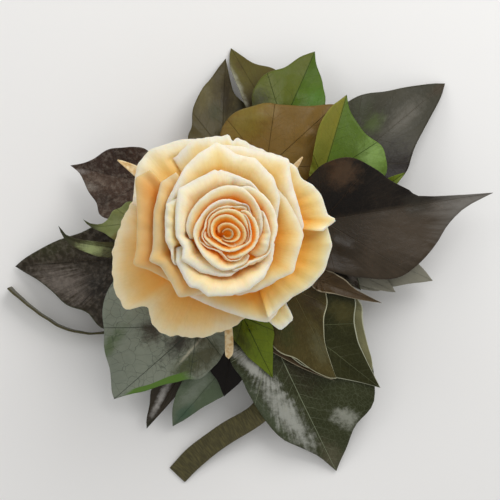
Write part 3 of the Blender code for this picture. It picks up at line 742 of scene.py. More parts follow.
@dataclass(frozen=True)
class LeafFinish:
    """A preserved ivy leaf: waxy, softly mottled, with fine veins.

    blade and mottle are mixed in broad clouds. left is the colour of its left half, foot that of the part
    near its stalk, tip that of its far end and margin that of the rolled margin on its left, where these
    differ. creased is how leathery its surface is, net_show how plain its finest veins are, net_cell how
    far apart they run, fibre_show how plain the fibres from its foot are, painted_glint the colour of its
    grain of painted glints, screened brightly onto a creased leaf and softly onto the others, and patches
    are spots of other colours, some of them painted highlights, sheen and shade. cloud, grain, dimple and
    pucker are the sizes of its clouds, its grain, its small dimples and its broad unevenness, vein_bend and
    net_bend how far apart the veins' bends are, and net_stray how far the finest veins stray. Lengths are in
    millimetres.
    """

    name: str
    blade: str
    mottle: str
    vein: str
    left: str = ""
    foot: str = ""
    tip: str = ""
    edge: str = ""
    margin: str = ""
    # The colour of the painted glints in the grain.
    painted_glint: str = "8a8276"
    vein_show: float = 0.5
    gloss: float = 0.36
    shine: float = 0.16
    creased: float = 0.1
    net_show: float = 0.08
    net_cell: float = 1.25
    fibre_show: float = 0.15
    patches: tuple[Patch, ...] = ()
    cloud: float = 20.0
    grain: float = 1.4
    dimple: float = 2.8
    dimple_depth: float = 1.6
    pucker: float = 13.0
    pucker_depth: float = 0.7
    vein_bend: float = 9.0
    vein_depth: float = 0.1
    net_bend: float = 1.0 / 0.26
    net_stray: float = 2.2
    net_depth: float = 0.01

    def vein_lines(self, spot: LeafSpot) -> Socket:
        """The main veins and the side veins that branch from them, which fade with their distance.

        A side vein runs wherever the bent phase passes a whole number and a half.

        Args:
            spot: What the material knows of each spot.

        Returns:
            1 on a main vein, less on a side vein and 0 beside them.
        """
        paint = spot.paint
        add = paint.add
        bends = add(Node.NOISE, spot.place, per_metre(self.vein_bend), 2.0, 0.5)
        phase = add(Node.TIMES_PLUS, bends, 0.9, spot.phase)
        main = add(Node.STEP, spot.from_main, 0.04, 0.22, 1.0, 0.0)
        saw = add(Node.UNSIGNED, add(Node.LESS, add(Node.FRACTION, phase), 0.5))
        side = add(Node.STEP, saw, 0.010, 0.035, 1.0, 0.0)
        fading = add(Node.STEP, spot.from_main, 0.1, 9.0, 0.30, 0.08)
        return add(Node.HIGHER, main, add(Node.TIMES, side, fading))

    def vein_net(self, spot: LeafSpot) -> Socket:
        """The net of the finest veins: the borders of wandering cells.

        Args:
            spot: What the material knows of each spot.

        Returns:
            1 on the net and 0 beside it.
        """
        paint = spot.paint
        wander = paint.add(Node.NOISE, spot.place, per_metre(self.net_bend), 2.0, 0.5).node.outputs["Color"]
        astray = paint.add(Node.SCALED, wander, (self.net_stray * MM,) * 3)
        bent = paint.add(Node.SHIFTED, spot.place, astray)
        border = paint.add(Node.CELL_EDGE, bent, per_metre(self.net_cell))
        return paint.add(Node.STEP, border, 0.0, 0.1 / self.net_cell, 1.0, 0.0)

    def ground_colour(self, spot: LeafSpot) -> Socket:
        """The colour under the veins: clouds, then the foot, the left half, the tip and the patches.

        Args:
            spot: What the material knows of each spot.

        Returns:
            The colour.
        """
        paint = spot.paint
        add = paint.add
        clouds = add(Node.NOISE, spot.place, per_metre(self.cloud), 4.0, 0.55)
        clouds = paint.swayed(clouds, spot.streaks, 0.35)
        mixed = add(Node.STEP, clouds, 0.34, 0.66)
        colour = add(Node.MIX, mixed, linear(self.blade), linear(self.mottle))
        if self.foot:
            near = add(Node.STEP, paint.swayed(spot.along, clouds, 0.5), 0.15, 0.65, 1.0, 0.0)
            colour = add(Node.MIX, near, colour, linear(self.foot))
        if self.left:
            mixed = add(Node.STEP, clouds, 0.36, 0.70, 0.0, 0.45)
            shade = add(Node.MIX, mixed, linear(self.left), linear(self.mottle))
            colour = add(Node.MIX, add(Node.STEP, spot.aside, -0.02, 0.03), colour, shade)
        if self.tip:
            far = add(Node.STEP, paint.swayed(spot.along, spot.streaks, 0.3), 0.55, 0.85)
            colour = add(Node.MIX, far, colour, linear(self.tip))
        flat = add(Node.JOINED, spot.along, spot.aside)
        for patch in self.patches:
            share = patch.mask(paint, flat, spot.streaks)
            colour = add(Node.MIX, share, colour, linear(patch.colour))
        return colour

    def veined_colour(self, spot: LeafSpot, lines: Socket, net: Socket) -> Socket:
        """The colour with its fibres, its grain of painted glints, its veins, its rolled margin and its
        edge.

        Args:
            spot: What the material knows of each spot.
            lines: The veins.
            net: The net of the finest veins.

        Returns:
            The colour.
        """
        paint = spot.paint
        add = paint.add
        colour = self.ground_colour(spot)
        fibres = add(Node.NOISE, spot.rays, 1.0 / 0.07, 3.0, 0.6)
        shown = add(Node.STEP, fibres, 0.5, 0.75, 0.0, self.fibre_show)
        colour = add(Node.MIX, shown, colour, linear(self.vein))
        # Painted glints: a fine grain of lighter specks stands in for the gleam of a creased surface.
        grain = add(Node.NOISE, spot.place, per_metre(self.grain), 3.0, 0.6)
        grained = add(Node.STEP, grain, 0.42, 0.70, 0.0, 0.08 + 0.28 * self.creased)
        blend = "SCREEN" if self.creased > 0.2 else "SOFT_LIGHT"
        colour = add(Node.MIX, grained, colour, linear(self.painted_glint), blend_type=blend)
        for shape, share in ((net, self.net_show), (lines, self.vein_show)):
            colour = add(Node.MIX, add(Node.TIMES, shape, share), colour, linear(self.vein))
        if self.margin:
            near_edge = add(Node.STEP, spot.from_edge, 2.4, 2.8, 1.0, 0.0)
            rolled = add(Node.TIMES, near_edge, add(Node.STEP, spot.aside, 0.02, 0.06))
            rolled = add(Node.TIMES, rolled, add(Node.STEP, spot.along, 0.30, 0.42))
            colour = add(Node.MIX, rolled, colour, linear(self.margin))
        if self.edge:
            on_edge = add(Node.STEP, spot.from_edge, 0.10, 0.32, 0.85, 0.0)
            colour = add(Node.MIX, on_edge, colour, linear(self.edge))
        return colour

    def material(self) -> bpy.types.Material:
        """The leaf's material, with its veins and its net sunk in, and dimples as deep as it is creased.

        Returns:
            The material.
        """
        paint = Paint.named("ivy_" + self.name)
        spot = LeafSpot.read(paint)
        lines, net = self.vein_lines(spot), self.vein_net(spot)
        normal = paint.add(Node.BUMP, net, -self.net_depth * MM)
        normal = paint.add(Node.BUMP, lines, -self.vein_depth * MM, normal)
        puckers = paint.add(Node.NOISE, spot.place, per_metre(self.pucker), 2.0, 0.5)
        normal = paint.add(Node.BUMP, puckers, self.pucker_depth * MM, normal)
        dimples = paint.add(Node.NOISE, spot.place, per_metre(self.dimple), 4.0, 0.6)
        return paint.finish(
            Base_Color=self.veined_colour(spot, lines, net),
            Roughness=paint.add(Node.STEP, spot.streaks, 0.35, 0.65, self.gloss - 0.05, self.gloss + 0.08),
            Specular_IOR_Level=self.shine,
            Normal=paint.add(Node.BUMP, dimples, self.dimple_depth * self.creased * MM, normal),
        )


class Tone(Enum):
    """The tones that preserved ivy takes."""

    BLACK = LeafFinish("black", "0c0704", "150e07", "2c241a", vein_show=0.3)
    # The first patch is a painted sheen on the wrinkled half, and the grain screens painted glints on.
    DARK = LeafFinish(
        "dark", "231d13", "2f271b", "17120c", edge="33371d", creased=0.4, vein_show=0.4,
        net_show=0.2,
        patches=(Patch(0.56, 0.18, 0.3, 0.15, "6c635b", turned=-24, share=0.85, streaked=2.6, speckled=0.9),
                 Patch(0.28, 0.24, 0.14, 0.13, "151109"), Patch(0.7, -0.14, 0.3, 0.12, "33331b")),
    )
    # The grey tip is painted sheen in streaks, and the first patch a painted sheen on the dome.
    LARGE = LeafFinish(
        "large", "2e261b", "41372b", "51463a", left="0f0904", tip="6c6862", vein_show=0.3, shine=0.18,
        patches=(Patch(0.15, 0.25, 0.11, 0.1, "5a442f"), Patch(0.55, 0.0, 0.1, 0.08, "36322a")),
    )
    # The two pale patches are painted gloss near the tip, and the grain screens painted glints on.
    UMBER = LeafFinish(
        "umber", "35241a", "3f2c20", "1c130d", left="49372b", vein_show=0.4, creased=0.8, shine=0.2,
        net_show=0.3,
        patches=(Patch(0.86, 0.045, 0.13, 0.035, "8d8681", turned=8),
                 Patch(0.66, 0.2, 0.11, 0.06, "797066"), Patch(0.58, 0.1, 0.16, 0.07, "5f4f43"),
                 Patch(0.45, 0.34, 0.16, 0.13, "33281f")),
    )
    # The pale grey patch along the midrib is a painted sheen.
    SLATE = LeafFinish(
        "slate", "38362a", "423f33", "5e594d", vein_show=0.45,
        patches=(Patch(0.32, 0.27, 0.16, 0.11, "3a3d28"), Patch(0.34, 0.12, 0.11, 0.08, "4d5a2e"),
                 Patch(0.56, 0.0, 0.24, 0.09, "5f5b51"),
                 Patch(0.22, -0.28, 0.3, 0.24, "1d1512", share=0.95),
                 Patch(0.95, 0.0, 0.12, 0.05, "43382a")),
    )
    # Painted light: this grey is lightened to make up for the shade these tucked-under leaves lie in.
    ASH = LeafFinish("ash", "7d7a6a", "888576", "77776a", vein_show=0.3)
    # Painted sheen: the grey blade and mottle; the pale last patch is a painted highlight on a ridge.
    PEWTER = LeafFinish(
        "pewter", "787f70", "868c7c", "30392a", margin="587a2c", vein_show=0.8, gloss=0.42, shine=0.25,
        net_show=0.5, net_cell=3.2,
        patches=(Patch(0.32, -0.24, 0.15, 0.13, "36291c", share=0.9),
                 Patch(0.2, 0.0, 0.22, 0.12, "281f17", share=0.9), Patch(0.06, 0.09, 0.12, 0.08, "352b1b"),
                 Patch(0.14, 0.24, 0.24, 0.14, "4c4a31", share=0.9),
                 Patch(0.33, 0.19, 0.16, 0.09, "4a5030", share=0.9),
                 Patch(0.72, -0.38, 0.3, 0.07, "52633a", turned=12),
                 Patch(0.22, 0.125, 0.17, 0.016, "b5b29c", turned=7, share=0.9)),
    )
    # The first patch is painted shade beside the folded edge, and the pale second a painted highlight on it.
    OLIVEY = LeafFinish(
        "olivey", "5c572a", "54491f", "2c2516", foot="3a2e16", vein_show=0.3,
        patches=(Patch(0.74, 0.03, 0.18, 0.05, "4f4322"),
                 Patch(0.62, 0.16, 0.4, 0.05, "8f8e7c", turned=-5, share=0.85)),
    )
    COCOA = LeafFinish(
        "cocoa", "453d25", "50482b", "241a0c", vein_show=0.3,
        patches=(Patch(0.62, 0.22, 0.26, 0.12, "615937"), Patch(0.55, -0.03, 0.3, 0.09, "251d10"),
                 Patch(0.42, -0.2, 0.14, 0.12, "2d2917"), Patch(0.4, 0.09, 0.12, 0.09, "3b3b1c")),
    )
    BRONZE = LeafFinish("bronze", "42331f", "4d3d26", "2d2318", edge="9a8f78", vein_show=0.3)
    # The pale patch is a painted gloss streak.
    SPIKE = LeafFinish(
        "spike", "2c251a", "382f22", "1d160e", vein_show=0.2, gloss=0.3, shine=0.2,
        patches=(Patch(0.58, -0.055, 0.32, 0.045, "aaa6a0", turned=5, share=0.9),
                 Patch(0.95, 0.0, 0.12, 0.05, "2c2f1b")),
    )
    # The three pale patches are painted gloss: two streaks on the right half and a gleam on the left.
    DEEP = LeafFinish(
        "deep", "2d3018", "363922", "9aa184", gloss=0.3, shine=0.12, fibre_show=0.1, vein_show=0.75,
        creased=0.12,
        patches=(Patch(0.23, 0.09, 0.24, 0.13, "30281a"),
                 Patch(0.4, -0.25, 0.45, 0.06, "4d5540", turned=10),
                 Patch(0.12, -0.195, 0.28, 0.04, "b8b8b0", turned=22, share=0.85, streaked=1.6),
                 Patch(0.48, -0.135, 0.36, 0.085, "b0b1a8", turned=8, share=0.8, streaked=1.6, speckled=2.0),
                 Patch(0.7, 0.22, 0.12, 0.065, "a0a195", turned=35, share=0.7, speckled=2.6),
                 Patch(0.92, 0.01, 0.16, 0.09, "5a5542")),
    )
    NIGHT = LeafFinish(
        "night", "222307", "2a2a0c", "6d7150", edge="b4b59c", vein_show=0.6,
        patches=(Patch(0.24, 0.36, 0.17, 0.13, "4a4421"),),
    )
    # Painted light: lightened to make up for the shade of the leaves over it.
    DUSK = LeafFinish("dusk", "6c694a", "757250", "6d7150", edge="b4b59c", vein_show=0.3)
    KHAKI = LeafFinish(
        "khaki", "3d3416", "473e1b", "6f6740", edge="bdbb9c", vein_show=0.4, fibre_show=0.45,
        patches=(Patch(0.18, 0.12, 0.22, 0.13, "34281a"), Patch(0.35, -0.25, 0.2, 0.1, "343a16"),
                 Patch(0.64, 0.0, 0.2, 0.1, "58553a")),
    )
    TEAL = LeafFinish(
        "teal", "58654d", "68715f", "2a3528", vein_show=0.3,
        patches=(Patch(0.52, -0.08, 0.32, 0.1, "7d8475"), Patch(0.8, 0.0, 0.18, 0.09, "3f5a46")),
    )
    OLIVE = LeafFinish(
        "olive", "735828", "6f5624", "443312", vein_show=0.8,
        patches=(Patch(0.2, 0.5, 0.3, 0.22, "7d6f2e"),),
    )
    LIME = LeafFinish(
        "lime", "4b6216", "57701f", "2a3a10", left="807a2c", vein_show=0.8,
        patches=(Patch(0.36, -0.52, 0.34, 0.17, "7d9a4e", turned=20),),
    )
    GREEN = LeafFinish(
        "green", "41580f", "4c6316", "27330d", left="565c20", vein_show=0.8,
        patches=(Patch(0.15, 0.38, 0.18, 0.16, "2f2d16", share=0.85),
                 Patch(0.45, -0.25, 0.2, 0.15, "466c1c")),
    )
    SAGE = LeafFinish(
        "sage", "76804a", "858f5c", "56602f", tip="3f4228",
        patches=(Patch(0.34, 0.24, 0.12, 0.1, "6b5a2c"),
                 Patch(0.25, -0.05, 0.28, 0.16, "929c6c", share=0.9)),
    )
    SICKLE = LeafFinish(
        "sickle", "4a4a2e", "3d3a24", "33331f", tip="33341f",
        patches=(Patch(0.38, 0.06, 0.24, 0.12, "9aa672", share=0.95),),
    )
    LEAFY = LeafFinish(
        "leafy", "5a6714", "68791b", "232b0b", vein_show=0.85,
        patches=(Patch(0.28, -0.16, 0.34, 0.11, "353311"),),
    )


@dataclass(frozen=True)
class ClothFinish:
    """Crepe tape or felt: matt, with fine creases that run across the tape.

    crease and lint are the sizes of its creases and of its lint, and depth is how deep they are, all in
    millimetres.
    """

    name: str
    thread: str
    shade: str
    crease: float
    depth: float
    lint: float = 0.5

    def material(self) -> bpy.types.Material:
        """The tape's material, which reads the place along and across it from the attribute cloth.

        Returns:
            The material.
        """
        paint = Paint.named(self.name)
        add = paint.add
        still = (0.0, 0.0, 0.0)
        cloth = add(Node.KEPT, attribute_name="cloth")
        cloth = add(Node.MAPPED, cloth, still, still, (1.0, 0.18, 1.0))
        creases = add(Node.NOISE, cloth, 1.0 / self.crease, 4.0, 0.6)
        lint = add(Node.NOISE, add(Node.PLACE), per_metre(self.lint), 2.0, 0.5)
        height = add(Node.TIMES_PLUS, lint, 0.35, creases)
        lit = add(Node.STEP, creases, 0.35, 0.7)
        return paint.finish(
            Base_Color=add(Node.MIX, lit, linear(self.shade), linear(self.thread)),
            Roughness=0.9,
            Specular_IOR_Level=0.2,
            Sheen_Weight=0.2,
            Sheen_Roughness=0.6,
            Normal=add(Node.BUMP, height, self.depth * MM),
        )


@dataclass(frozen=True)
class SepalFinish:
    """A dried calyx with its sepals: cream, with tan streaks along it. Lengths are in millimetres."""

    dry: str = "f0dcb0"
    tan: str = "d4ae70"
    streak: float = 1.2
    depth: float = 0.2

    def material(self) -> bpy.types.Material:
        """The calyx's material, whose streaks are drawn out three times as high as they are wide.

        Returns:
            The material.
        """
        paint = Paint.named("dried_sepal")
        still = (0.0, 0.0, 0.0)
        drawn = paint.add(Node.MAPPED, paint.add(Node.PLACE), still, still, (1.0, 1.0, 0.3))
        streaks = paint.add(Node.NOISE, drawn, per_metre(self.streak), 4.0, 0.5)
        streaked = paint.add(Node.STEP, streaks, 0.35, 0.7)
        return paint.finish(
            Base_Color=paint.add(Node.MIX, streaked, linear(self.dry), linear(self.tan)),
            Roughness=0.7,
            Normal=paint.add(Node.BUMP, streaks, self.depth * MM),
        )


# ---------------- rose


Corners = tuple[tuple[float, float], ...]


@dataclass(frozen=True)
class Petal:
    """One petal by its rim: (azimuth in degrees, radius) of its corners, anticlockwise, seen from above.

    height is how high the middle of the rim stands above the receptacle's rim, sag how much lower its ends
    are, knee how far below the rim the wall bends out into the lip, crest how far the lip bulges above the
    rim, and roll how far the edge turns back, in degrees. tuck is how far either end runs on under its
    neighbour, in degrees, widen the share of its length over which the petal widens from its claw, and
    curl how far the side edge at either end turns up. A soft rim is rounded between its corners. plump is
    how much thicker the wall is below the rim, where the furled petals fill the bud, and bud how much of
    the bud's deep colour the petal has: below 0, it stays pale, and from -0.05 to -0.08 it takes on
    shaded_outer_tint, a painted shade. On the petals outside the ring, a small bud above 0 is painted shade
    too, a warmer colour where they lie in shade. ragged is how far the rim strays from its line, in small
    scallops. core is how soon below the rim the painted crevice shade and glow start, where 0 is never, and
    tan how much painted shade darkens the petal.
    """

    rim: Corners
    height: float
    root: float = 8.0
    knee: float = 2.0
    crest: float = 1.5
    sag: float = 4.0
    roll: float = 55.0
    claw: float = 0.45
    tuck: tuple[float, float] = (14.0, 14.0)
    ruffle: float = 0.25
    bud: float = 0.0
    soft: bool = False
    widen: float = 0.55
    curl: tuple[float, float] = (0.0, 0.0)
    plump: float = 0.0
    ragged: float = 0.05
    core: float = 0.0
    tan: float = 0.0


def bud_petal(rim: Corners, height: float, root: float, bud: float) -> Petal:
    """A petal of the furled bud, with a soft rim, from its rim, height, root and bud."""
    return Petal(
        rim, height, root, knee=1.2, crest=0.5, sag=2.0, roll=30, claw=0.85, tuck=(10.0, 10.0), ruffle=0.08,
        bud=bud, soft=True, plump=0.7, core=2.0,
    )


def ring_petal(rim: Corners, height: float, root: float, bud: float) -> Petal:
    """A petal of the ring round the bud, with a soft, flared rim, from its rim, height, root and bud."""
    return Petal(
        rim, height, root, knee=1.6, crest=0.8, sag=3.0, roll=45, claw=0.6, ruffle=0.12,
        bud=bud, soft=True, plump=0.9, core=0.72,
    )


# From the bud outwards.
PETALS = (
    bud_petal(((-150, 1.2), (-60, 1.3), (30, 1.25), (150, 1.4)), 29.6, 0.9, 0.8),
    bud_petal(((-136, 1.9), (-82, 2.1), (-12, 3.0), (57, 2.6), (140, 3.1), (157, 2.7)), 30.0, 1.8, 0.7),
    bud_petal(
        ((-44, 4.2), (-10, 4.7), (50, 4.2), (91, 4.8), (139, 5.1), (187, 4.2), (211, 3.3), (254, 2.9),
         (298, 3.8)),
        30.3, 2.7, 0.6,
    ),
    bud_petal(
        ((-16, 5.0), (10, 5.1), (37, 5.6), (69, 6.2), (140, 6.2), (154, 5.7), (181, 5.1)),
        30.5, 3.6, 0.5,
    ),
    bud_petal(
        ((-175, 6.2), (-143, 5.0), (-113, 4.6), (-59, 4.8), (-5, 5.5), (33, 5.8), (77, 6.4)),
        30.8, 4.4, 0.4,
    ),
    bud_petal(((-83, 6.4), (-53, 6.7), (-13, 7.6), (14, 7.7), (50, 7.6)), 30.7, 5.0, 0.35),
    bud_petal(((62, 7.0), (100, 7.0), (140, 6.8), (180, 6.2), (210, 5.8)), 30.5, 5.4, 0.3),
    bud_petal(((195, 5.5), (235, 5.3), (270, 5.6), (310, 6.3)), 30.1, 5.6, 0.3),
    # the ring round the bud
    ring_petal(
        ((38, 8.0), (70, 8.5), (100, 8.8), (127, 8.5), (151, 8.4), (178, 9.0), (206, 8.6), (234, 8.8),
         (261, 9.4), (284, 8.8), (302, 8.7)),
        30.6, 6.8, 0.12,
    ),
    ring_petal(
        ((0, 8.6), (27, 9.7), (55, 11.1), (74, 12.2), (97, 12.1), (127, 11.3), (159, 11.0), (173, 10.7)),
        30.6, 7.0, 0.14,
    ),
    ring_petal(((-24, 10.8), (-9, 10.6), (0, 10.7), (14, 10.5), (30, 10.6)), 30.4, 7.2, 0.12),
    ring_petal(
        ((-84, 8.9), (-59, 9.2), (-43, 9.9), (-27, 10.8), (1, 12.4), (21, 13.1), (44, 13.5), (65, 13.4),
         (72, 12.8)),
        30.2, 7.6, 0.08,
    ),
    # the broad petals with rolled rims
    Petal(
        ((43, 13.5), (66, 14.8), (90, 15.9), (97, 16.5), (99, 15.9), (101, 16.8), (112, 16.1), (124, 16.2),
         (138, 17.0), (151, 15.1), (166, 13.9), (183, 13.3), (197, 12.0), (209, 13.6), (235, 12.0),
         (260, 11.0), (274, 10.7)),
        height=29.0, root=7.8, knee=1.6, crest=1.2, sag=2.0, roll=45, claw=0.42, ruffle=0.2, bud=-0.05,
        plump=0.8, core=0.22,
    ),
    Petal(
        ((209, 14.9), (227, 15.9), (234, 16.6), (243, 15.8), (252, 16.7), (273, 15.7), (291, 15.3),
         (310, 14.6), (330, 13.4), (348, 12.5)),
        height=28.0, root=7.8, knee=1.6, crest=1.4, sag=2.0, roll=55, claw=0.42, ruffle=0.2, bud=-0.04,
        plump=0.6, core=0.25,
    ),
    Petal(
        ((145, 15.8), (154, 17.4), (168, 16.3), (186, 15.9), (203, 14.9)),
        height=27.4, root=8.5, knee=1.4, crest=1.8, sag=2.0, roll=25, bud=0.08,
    ),
    # the middle ring
    Petal(
        ((23, 14.6), (35, 16.9), (51, 19.1), (69, 20.9), (83, 20.7), (96, 23.8), (110, 21.8), (122, 20.3),
         (137, 18.2), (153, 17.4)),
        height=26.8, root=8.5, knee=2.4, crest=1.2, sag=2.0, roll=25, claw=0.40,
    ),
    Petal(
        ((-78, 15.9), (-60, 16.4), (-46, 17.1), (-37, 18.2), (-29, 20.0), (-18, 19.3), (0, 20.2),
         (12, 19.1), (31, 18.4), (41, 18.1)),
        height=25.2, root=8.5, knee=2.4, crest=1.2, sag=3.0, roll=22, claw=0.40, bud=0.10, tan=0.2,
    ),
    Petal(
        ((-62, 16.6), (-45, 17.6), (-31, 18.6), (-20, 18.6), (-8, 18.6)),
        height=22.5, root=8.5, crest=1.0, roll=20, bud=0.1,
    ),
    Petal(
        ((129, 20.4), (141, 21.4), (163, 19.4), (182, 18.7), (191, 19.1), (199, 20.9), (206, 18.6),
         (221, 18.7), (233, 20.1), (247, 16.5)),
        height=24.2, root=8.5, knee=1.2, crest=3.4, sag=1.5, roll=30, claw=0.40, tuck=(0.0, 14.0),
        widen=1.0, curl=(1.8, 0.0), bud=0.05, tan=0.6,
    ),
    # the outer ring
    Petal(
        ((139, 25.5), (147, 27.4), (156, 24.7), (166, 23.1), (189, 22.9), (198, 24.8), (205, 21.2),
         (220, 18.2)),
        height=20.5, root=9.2, knee=1.2, crest=3.6, sag=1.5, roll=30, claw=0.42, tuck=(0.0, 14.0),
        widen=1.0, curl=(2.0, 0.0), bud=0.01, tan=0.9,
    ),
    Petal(
        ((7, 21.0), (23, 20.8), (40, 22.5), (50, 26.0), (61, 24.1), (79, 23.4), (93, 23.6)),
        height=22.8, root=9.2, knee=2.6, crest=1.2, sag=2.5, roll=20,
    ),
    Petal(
        ((3, 26.0), (6, 28.2), (8.5, 31.0), (11, 28.3), (23, 28.2), (30, 27.2), (36, 25.6), (43, 26.6),
         (47, 26.3)),
        height=18.2, root=9.2, knee=2.6, crest=1.8, sag=1.0, roll=60, tuck=(0.0, 14.0), widen=1.0,
        curl=(2.6, 0.0), bud=0.07,
    ),
    Petal(
        ((-60, 24.6), (-52, 24.2), (-39, 24.6), (-29, 26.9), (-18, 28.7), (-4, 29.5), (10, 28.0)),
        height=14.8, root=9.6, knee=2.6, crest=1.8, sag=1.0, roll=75, claw=0.5, tuck=(0.0, 14.0), widen=1.0,
        curl=(2.0, 0.0), bud=0.08,
    ),
    Petal(
        ((242, 17.6), (265, 18.6), (279, 20.4), (287, 22.2), (299, 25.6), (306, 25.0)),
        height=13.6, root=9.6, knee=2.6, crest=1.4, sag=1.5, roll=20, bud=0.07,
    ),
    Petal(
        ((50, 27.3), (62, 25.3), (82, 26.5), (83.3, 23.4), (84.6, 27.0), (107, 26.5)),
        height=15.2, root=9.2, knee=2.6, crest=1.4, sag=2.5, roll=20, ragged=0.18,
    ),
    # the spread petals at the back
    Petal(
        ((92, 25.1), (101, 26.3), (112, 27.7), (129, 29.5), (139, 28.9), (145, 27.2)),
        height=12.4, root=10, knee=2.6, crest=1.6, sag=2.5, roll=30, bud=-0.06,
    ),
    Petal(
        ((300, 24.0), (303, 29.4), (313, 29.2), (316, 24.4)),
        height=9.6, root=10.2, crest=1.0, sag=1.0, roll=5, claw=0.7, widen=1.0,
    ),
    Petal(
        ((128, 21.0), (143, 21.5), (158, 21.5), (172, 20.5)),
        height=11.5, root=10, crest=1.0, sag=3.0, roll=30, bud=-0.1,
    ),
    Petal(
        ((153, 24.5), (170, 26.0), (188, 28.4), (199, 29.6), (208, 31.0), (217, 31.0), (219, 30.6),
         (220.5, 27.2), (225, 26.0), (228, 27.4), (231, 28.6), (239, 29.3), (245, 28.6), (247, 27.6),
         (249, 28.0), (262, 26.4), (278, 24.0), (292, 22.0)),
        height=8.4, root=10, knee=3.0, crest=1.6, sag=1.5, roll=12, claw=0.42, ruffle=0.4, bud=-0.08,
        ragged=0.22,
    ),
)
PETAL_SEED = 500
PETAL_STEP_DEG = 1.25
# Shares of a petal's length at which its rows lie, ever closer towards its rim.
PETAL_SHARES = 1.0 - (1.0 - np.linspace(0.0, 1.0, 45)) ** 1.35
PROFILE_SAMPLES = 72
ROLL_LENGTH = 1.3
CURL_WIDTH = 2.2
TUCKED_IN = 0.90
ROUNDING = (0.25, 0.5, 0.25)


def receptacle_height(radius: Array) -> Array:
    """Height of the receptacle's domed top above its rim."""
    return RECEPTACLE_RISE * (1.0 - (np.asarray(radius) / RECEPTACLE_RADIUS) ** 2)


def rose_frame(points: Array) -> Array:
    """Sets the rose on the hub, leant over by ROSE_TILT.

    Args:
        points: Points measured from the receptacle's rim along the rose's axis, any shape by 3.

    Returns:
        The points as the bouquet is drawn, in the same shape.
    """
    axis = turn(np.array([0.0, 0.0, 1.0]), ROSE_TILT_AZIMUTH) @ np.array([0.0, 1.0, 0.0])
    flat = np.asarray(points, float).reshape(-1, 3)
    tilted = (flat + (0, 0, CALYX_HEIGHT)) @ turn(axis, ROSE_TILT).T
    return (tilted + (*HUB_CENTRE, CALYX_FOOT)).reshape(np.shape(points))


def rim_radius(petal: Petal, corners: Array, azimuth: Array) -> Array:
    """Radius of a petal's rim: a smooth curve where it is soft, and else straight lines, barely rounded.

    On the line between corners (a, r) and (b, s), the radius at azimuth t is
    r s sin(b - a) / (r sin(t - a) + s sin(b - t)).

    Args:
        petal: The petal.
        corners: (azimuth, radius) of the rim's corners.
        azimuth: Azimuths in degrees.

    Returns:
        The radius at each azimuth.
    """
    if petal.soft:
        curve = route_through(corners, 12 * len(corners))
        return np.interp(azimuth, curve[:, 0], curve[:, 1])
    k = np.clip(np.searchsorted(corners[:, 0], azimuth, side="right") - 1, 0, len(corners) - 2)
    a, r = np.radians(corners[k, 0]), corners[k, 1]
    b, s = np.radians(corners[k + 1, 0]), corners[k + 1, 1]
    t = np.radians(azimuth)
    rim = r * s * np.sin(b - a) / (r * np.sin(t - a) + s * np.sin(b - t))
    return np.convolve(np.pad(rim, 1, mode="edge"), ROUNDING, mode="valid")


def petal_corners(petal: Petal) -> Array:
    """The rim's corners, with one more at either end, tucked in under the neighbours.

    Args:
        petal: The petal.

    Returns:
        Rows of (azimuth, radius).
    """
    corners = np.array(petal.rim, float)
    ends = corners[[0, -1]] + ((-petal.tuck[0] - 0.01, 0.0), (petal.tuck[1] + 0.01, 0.0))
    ends[:, 1] *= np.where(np.array(petal.tuck) > 0, TUCKED_IN, 1.0)
    return np.concatenate([ends[:1], corners, ends[1:]])


def petal_profiles(petal: Petal, rosette: "Rosette", azimuth: Array, rim: Array, top: Array) -> Array:
    """Bezier curves from the root up a wall that hugs the petals within it, then over the lip to the rim.

    Args:
        petal: The petal.
        rosette: What the petals made so far fill.
        azimuth: Azimuth of each curve.
        rim: Radius of each curve's end.
        top: Height of each curve's end.

    Returns:
        (radius, height) at PROFILE_SAMPLES places on each curve.
    """
    foot = receptacle_height(np.full_like(rim, petal.root)) + 0.4
    knee = top - petal.knee
    wall = rosette.wall(azimuth, knee, rim)
    low_wall = rosette.wall(azimuth, 0.5 * knee, wall)
    lip = rim - wall
    control = np.stack([
        np.stack([np.full_like(rim, petal.root), foot], -1),
        np.stack([np.minimum(low_wall, petal.root + 0.5 * (wall - petal.root)), foot + 0.25 * knee], -1),
        np.stack([0.4 * low_wall + 0.6 * wall, 0.80 * knee], -1),
        np.stack([wall, knee], -1),
        np.stack([rim - 0.5 * lip, top + petal.crest], -1),
        np.stack([rim, top], -1),
    ])
    return bezier(control, np.linspace(0.0, 1.0, PROFILE_SAMPLES))


def rolled(curve: Array, roll: float, rim: Array) -> Array:
    """Profiles whose direction turns down by the roll over their last ROLL_LENGTH, less on a small petal.

    Args:
        curve: (radius, height) of the profiles, samples by columns by 2.
        roll: How far the direction turns, in degrees.
        rim: Radius at which the widest place of each profile ends up.

    Returns:
        (radius, height) of the profiles at PETAL_SHARES of their length, rows by columns by 2.
    """
    step = np.diff(curve, axis=0)
    length = np.linalg.norm(step, axis=-1)
    gone = np.concatenate([np.zeros((1, len(rim))), np.cumsum(length, axis=0)])
    left = gone[-1] - 0.5 * (gone[1:] + gone[:-1])
    roll_length = ROLL_LENGTH * (0.35 + 0.65 * min(rim.mean() / 16.0, 1.0))
    lean = np.arctan2(step[..., 0], step[..., 1])
    lean = lean + math.radians(roll) * smooth(-left, -roll_length, 0.0)
    step = length[..., None] * np.stack([np.sin(lean), np.cos(lean)], axis=-1)
    path = np.concatenate([curve[:1], curve[:1] + np.cumsum(step, axis=0)])
    share = gone / gone[-1]
    path[..., 0] += (rim - path[..., 0].max(axis=0)) * share
    columns = range(len(rim))
    read = [[np.interp(PETAL_SHARES, share[:, j], path[:, j, k]) for k in (0, 1)] for j in columns]
    return np.array(read).transpose(2, 0, 1)


